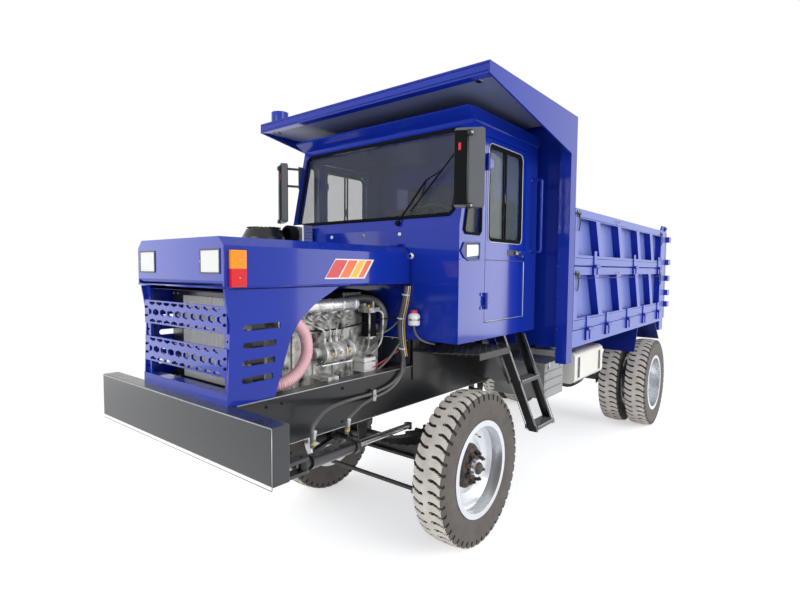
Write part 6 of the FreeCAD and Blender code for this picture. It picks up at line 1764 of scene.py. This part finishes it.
@dataclass
class ChassisTrim:
    """Bolts, brake lines, tank straps, air-cleaner bands, the vent box, grip studs, worn
    edges, painted highlight lines on the rails and the ribbed radiator hose."""

    cleaner: Span = (-656, -600)

    def build(self) -> None:
        """Dresses the chassis from nose to tail."""
        self.rails()
        self.tanks()
        self.air_cleaner()
        self.fenders()
        self.bumper()
        self.ladders()
        self.pink_hose()

    def rails(self) -> None:
        """Bolts on the frame rails, with brake lines clipped along them and painted highlight lines on the front
        flange edges.
        """
        draft = Draft("rail_fastenings")
        for y in (-1380, -1290, -880, -420, 480, 700, 1240, 1330, 2110, 2230, 2900, 3100, 3300):
            for z in (922, 1104):
                draft.bolt(at(400, y, z), OUT, 0.0075, CHASSIS_ENAMEL)
        line = [(404, 1240, 960), (407, 1500, 968), (406, 2700, 962), (402, 3300, 940)]
        for dx, dz, radius in ((0, 0, 0.004), (0, 14, 0.004), (3, 30, 0.0065)):
            draft.path([at(x + dx, y, z + dz) for x, y, z in line], radius, BLACK_GASKET, 8, rounds=1)
        # Painted highlight: two bright lines along the rails' front flange edges stand in for the flanges'
        # reflection.
        for z, radius in ((1138, 0.0032), (892, 0.0025)):
            draft.path(straight(399, (-1540, -700, 800), z), radius, WORN_EDGE_AND_HIGHLIGHT, 8)
        for y in range(1400, 3200, 400):
            draft.box(at(400, y - 8, 962), at(413, y + 8, 1008), ZINC)
            draft.bolt(at(413, y, 1002), OUT, 0.004, ZINC)
        draft.mirror()
        draft.place("chassis", "frame_paint")

    def tanks(self) -> None:
        """Straps, caps and drain valves of the side tanks, and the lid and catches of the side boxes."""
        draft = Draft("tank_straps")
        x0, x1, z0, z1 = 410.6, 860.0, 815.0, 1075.0
        strap_half = 24
        for y in (1430, 1950):
            for dy in (-strap_half, strap_half):
                ring = [(x0 + 46, z1 + 1), (x1 - 46, z1 + 1), (x1 - 13, z1 - 12), (x1 + 1, z1 - 46),
                        (x1 + 1, z0 + 46), (x1 - 13, z0 + 12), (x1 - 46, z0 - 1), (x0 + 46, z0 - 1)]
                draft.path([at(x, y + dy, z) for x, z in ring], 0.003, ZINC, 6)
            band = ((-strap_half, z0 + 46), (strap_half, z0 + 46), (strap_half, z1 - 46), (-strap_half, z1 - 46))
            draft.prism([at(x1 + 1, y + dy, z) for dy, z in band], OUT * 0.0025, BLACK_FORGING)
            draft.bolt(at(x1 + 3, y, 945), OUT, 0.008, ZINC)
        draft.turned(at(635, 1450, 1109), UP, [(0, 0.050), (0.020, 0.050), (0.026, 0.044), (0.028, 0.020)],
                     BLACK_GASKET, 32)
        draft.nut(at(620, 1700, 816), DOWN, [(0, 0.018), (0.012, 0.018), (0.014, 0.012), (0.034, 0.012)], BRASS)
        draft.box(at(404, 826, 1030), at(824, 1204, 1052), GREY_ENAMEL, 0.006)
        for y in (900, 1130):
            draft.box(at(820, y - 14, 1000), at(827, y + 14, 1056), ZINC)
            draft.rod(at(829, y - 10, 1012), at(829, y + 10, 1012), 0.004, ZINC, 10)
        for z in (840, 905, 970):
            draft.box(at(819, 850, z), at(823, 1180, z + 12), GREY_ENAMEL)
        draft.mirror()
        draft.place("chassis", "frame_paint", bevel=0.001)

    def air_cleaner(self) -> None:
        """Bands, over-centre clips and the rain cap's ribs on the air cleaner."""
        draft = Draft("air_cleaner_bands")
        x, y = self.cleaner
        for z in (1520, 1700, 1890):
            draft.turned(at(x, y, z), UP, [(0, 0.1302), (0.004, 0.1325), (0.016, 0.1325), (0.020, 0.1302)],
                         ZINC, 64, capped=False)
        for c, s in circle(3, 1.8 / math.tau):
            low = (x + 134 * c - 9, y + 134 * s - 9)
            draft.box(at(*low, 1878), at(low[0] + 18, low[1] + 18, 1924), ZINC, 0.003)
        for c, s in circle(24):
            draft.rod(at(x + 60 * c, y + 60 * s, 2033), at(x + 118 * c, y + 118 * s, 2033), 0.003, BLACK_FORGING, 6)
        draft.place("chassis", "frame_paint")
        self.vent()

    def vent(self) -> None:
        """The pale louvred ventilation box on the cab's far front corner, with its round black mouth."""
        draft = Draft("vent_box")
        low, high = -640, -484
        draft.box(at(low, -392, 1900), at(high, -296, 2060), SILVER_ENAMEL, 0.006)
        for index in range(6):
            z = 1918 + index * 22
            draft.box(at(high - 2, -382, z), at(high + 3, -310, z + 9), LINING_ENAMEL, 0.002)
        draft.turned(at(-586, -390, 1990), AHEAD,
                     [(0, 0.062), (0.010, 0.068), (0.060, 0.068), (0.066, 0.064), (0.066, 0.052), (0.020, 0.048)],
                     BLACK_GASKET, 48)
        draft.place("chassis", "frame_paint", bevel=0.0008)

    def fenders(self) -> None:
        """Raised grip studs on the front fenders."""
        draft = Draft("step_grips")
        for row in range(13):
            for column in range(9):
                y = -240 + row * 40
                x = 424 + column * 44 + (row % 2) * 22
                draft.turned(at(x, y, 1240), UP, [(0, 0.010), (0.0025, 0.008)], CHASSIS_ENAMEL, 8)
        draft.mirror()
        draft.place("chassis", "frame_paint")

    def bumper(self) -> None:
        """Bright worn edges on the bumper's channel."""
        draft = Draft("bumper_edges")
        for z in (893, 1137):
            draft.path(straight((-771, 0, 771), -1638, z), 0.002, WORN_EDGE_AND_HIGHLIGHT, 8)
        draft.path(straight(770, -1637, (893, 1000, 1137)), 0.002, WORN_EDGE_AND_HIGHLIGHT, 8)
        draft.place("chassis", "frame_paint")

    def ladders(self) -> None:
        """Bare bright edges on the ladders' channels and steps."""
        draft = Draft("ladder_edges")
        top, foot = Vector((715, 300, 1310)), Vector((870, 520, 625))
        for offset in (0, 300):
            for across in (-40, 40):
                start = at(top.x + across, top.y + offset, top.z - 12)
                end = at(foot.x + across, foot.y + offset, foot.z + 4)
                draft.bead(start, end, 0.0028, WORN_EDGE_AND_HIGHLIGHT)
        for share in (0.02, 0.5):
            spot = foot.lerp(top, share)
            for across in (-54, 39):
                x, z = spot.x + across, spot.z + 25
                draft.path(straight(x, (spot.y + 6, spot.y + 150, spot.y + 294), z), 0.003, WORN_EDGE_AND_HIGHLIGHT, 8)
            for step in range(6):
                y = spot.y + 30 + step * 48
                draft.box(at(spot.x - 46, y, spot.z + 25), at(spot.x + 32, y + 8, spot.z + 28), WORN_EDGE_AND_HIGHLIGHT)
        draft.mirror()
        draft.place("chassis", "frame_paint")

    def pink_hose(self) -> None:
        """The radiator hose, with close ridges all along it and a worm clip at each end."""
        draft = Draft("ribbed_radiator_hose")
        tank = -1362
        line = route((292, tank, 1548), (292, tank + 60, 1548), (338, -1215, 1520), (345, -1130, 1462),
                     (346, -1092, 1400), (346, -1082, 1330), (345, -1106, 1262), (344, -1165, 1206),
                     (338, -1250, 1176), (292, tank + 60, 1174), (292, tank, 1174))
        pitch, ridge, step = 0.0105, 0.045, 0.0021
        dense = rounded(line, 2)
        fine = []
        for first, second in zip(dense, dense[1:]):
            parts = max(1, round((second - first).length / step))
            fine += [first.lerp(second, index / parts) for index in range(parts)]
        fine.append(dense[-1])
        draft.path(fine, 0.030, PINK_HOSE, 24,
                   swell=lambda walked: 1.0 + ridge * math.cos(math.tau * walked / pitch))
        for z in (1548, 1174):
            draft.turned(at(292, tank + 10, z), BACK, [(0, 0.0325), (0.012, 0.0325)], ZINC, 32)
            draft.box(at(284, tank + 11, z + 30), at(300, tank + 21, z + 40), ZINC)
        draft.place("chassis", "black_rubber", replaced=["radiator_hose"])


# ---------------------------------------------------------------- the whole truck
def main() -> None:
    """Builds the stage and every sub-assembly in order."""
    logging.basicConfig(level=logging.INFO, format="%(name)s: %(message)s")
    for part in (Studio, CarriedNodes, Wheels, NoseTrim, CabTrim, MirrorTrim, DoorTrim, CanopyTrim, BedTrim,
                 EngineTrim, ChassisTrim):
        part().build()
        LOG.info("%s is in place", part.__name__)


if __name__ == "__main__":
    main()
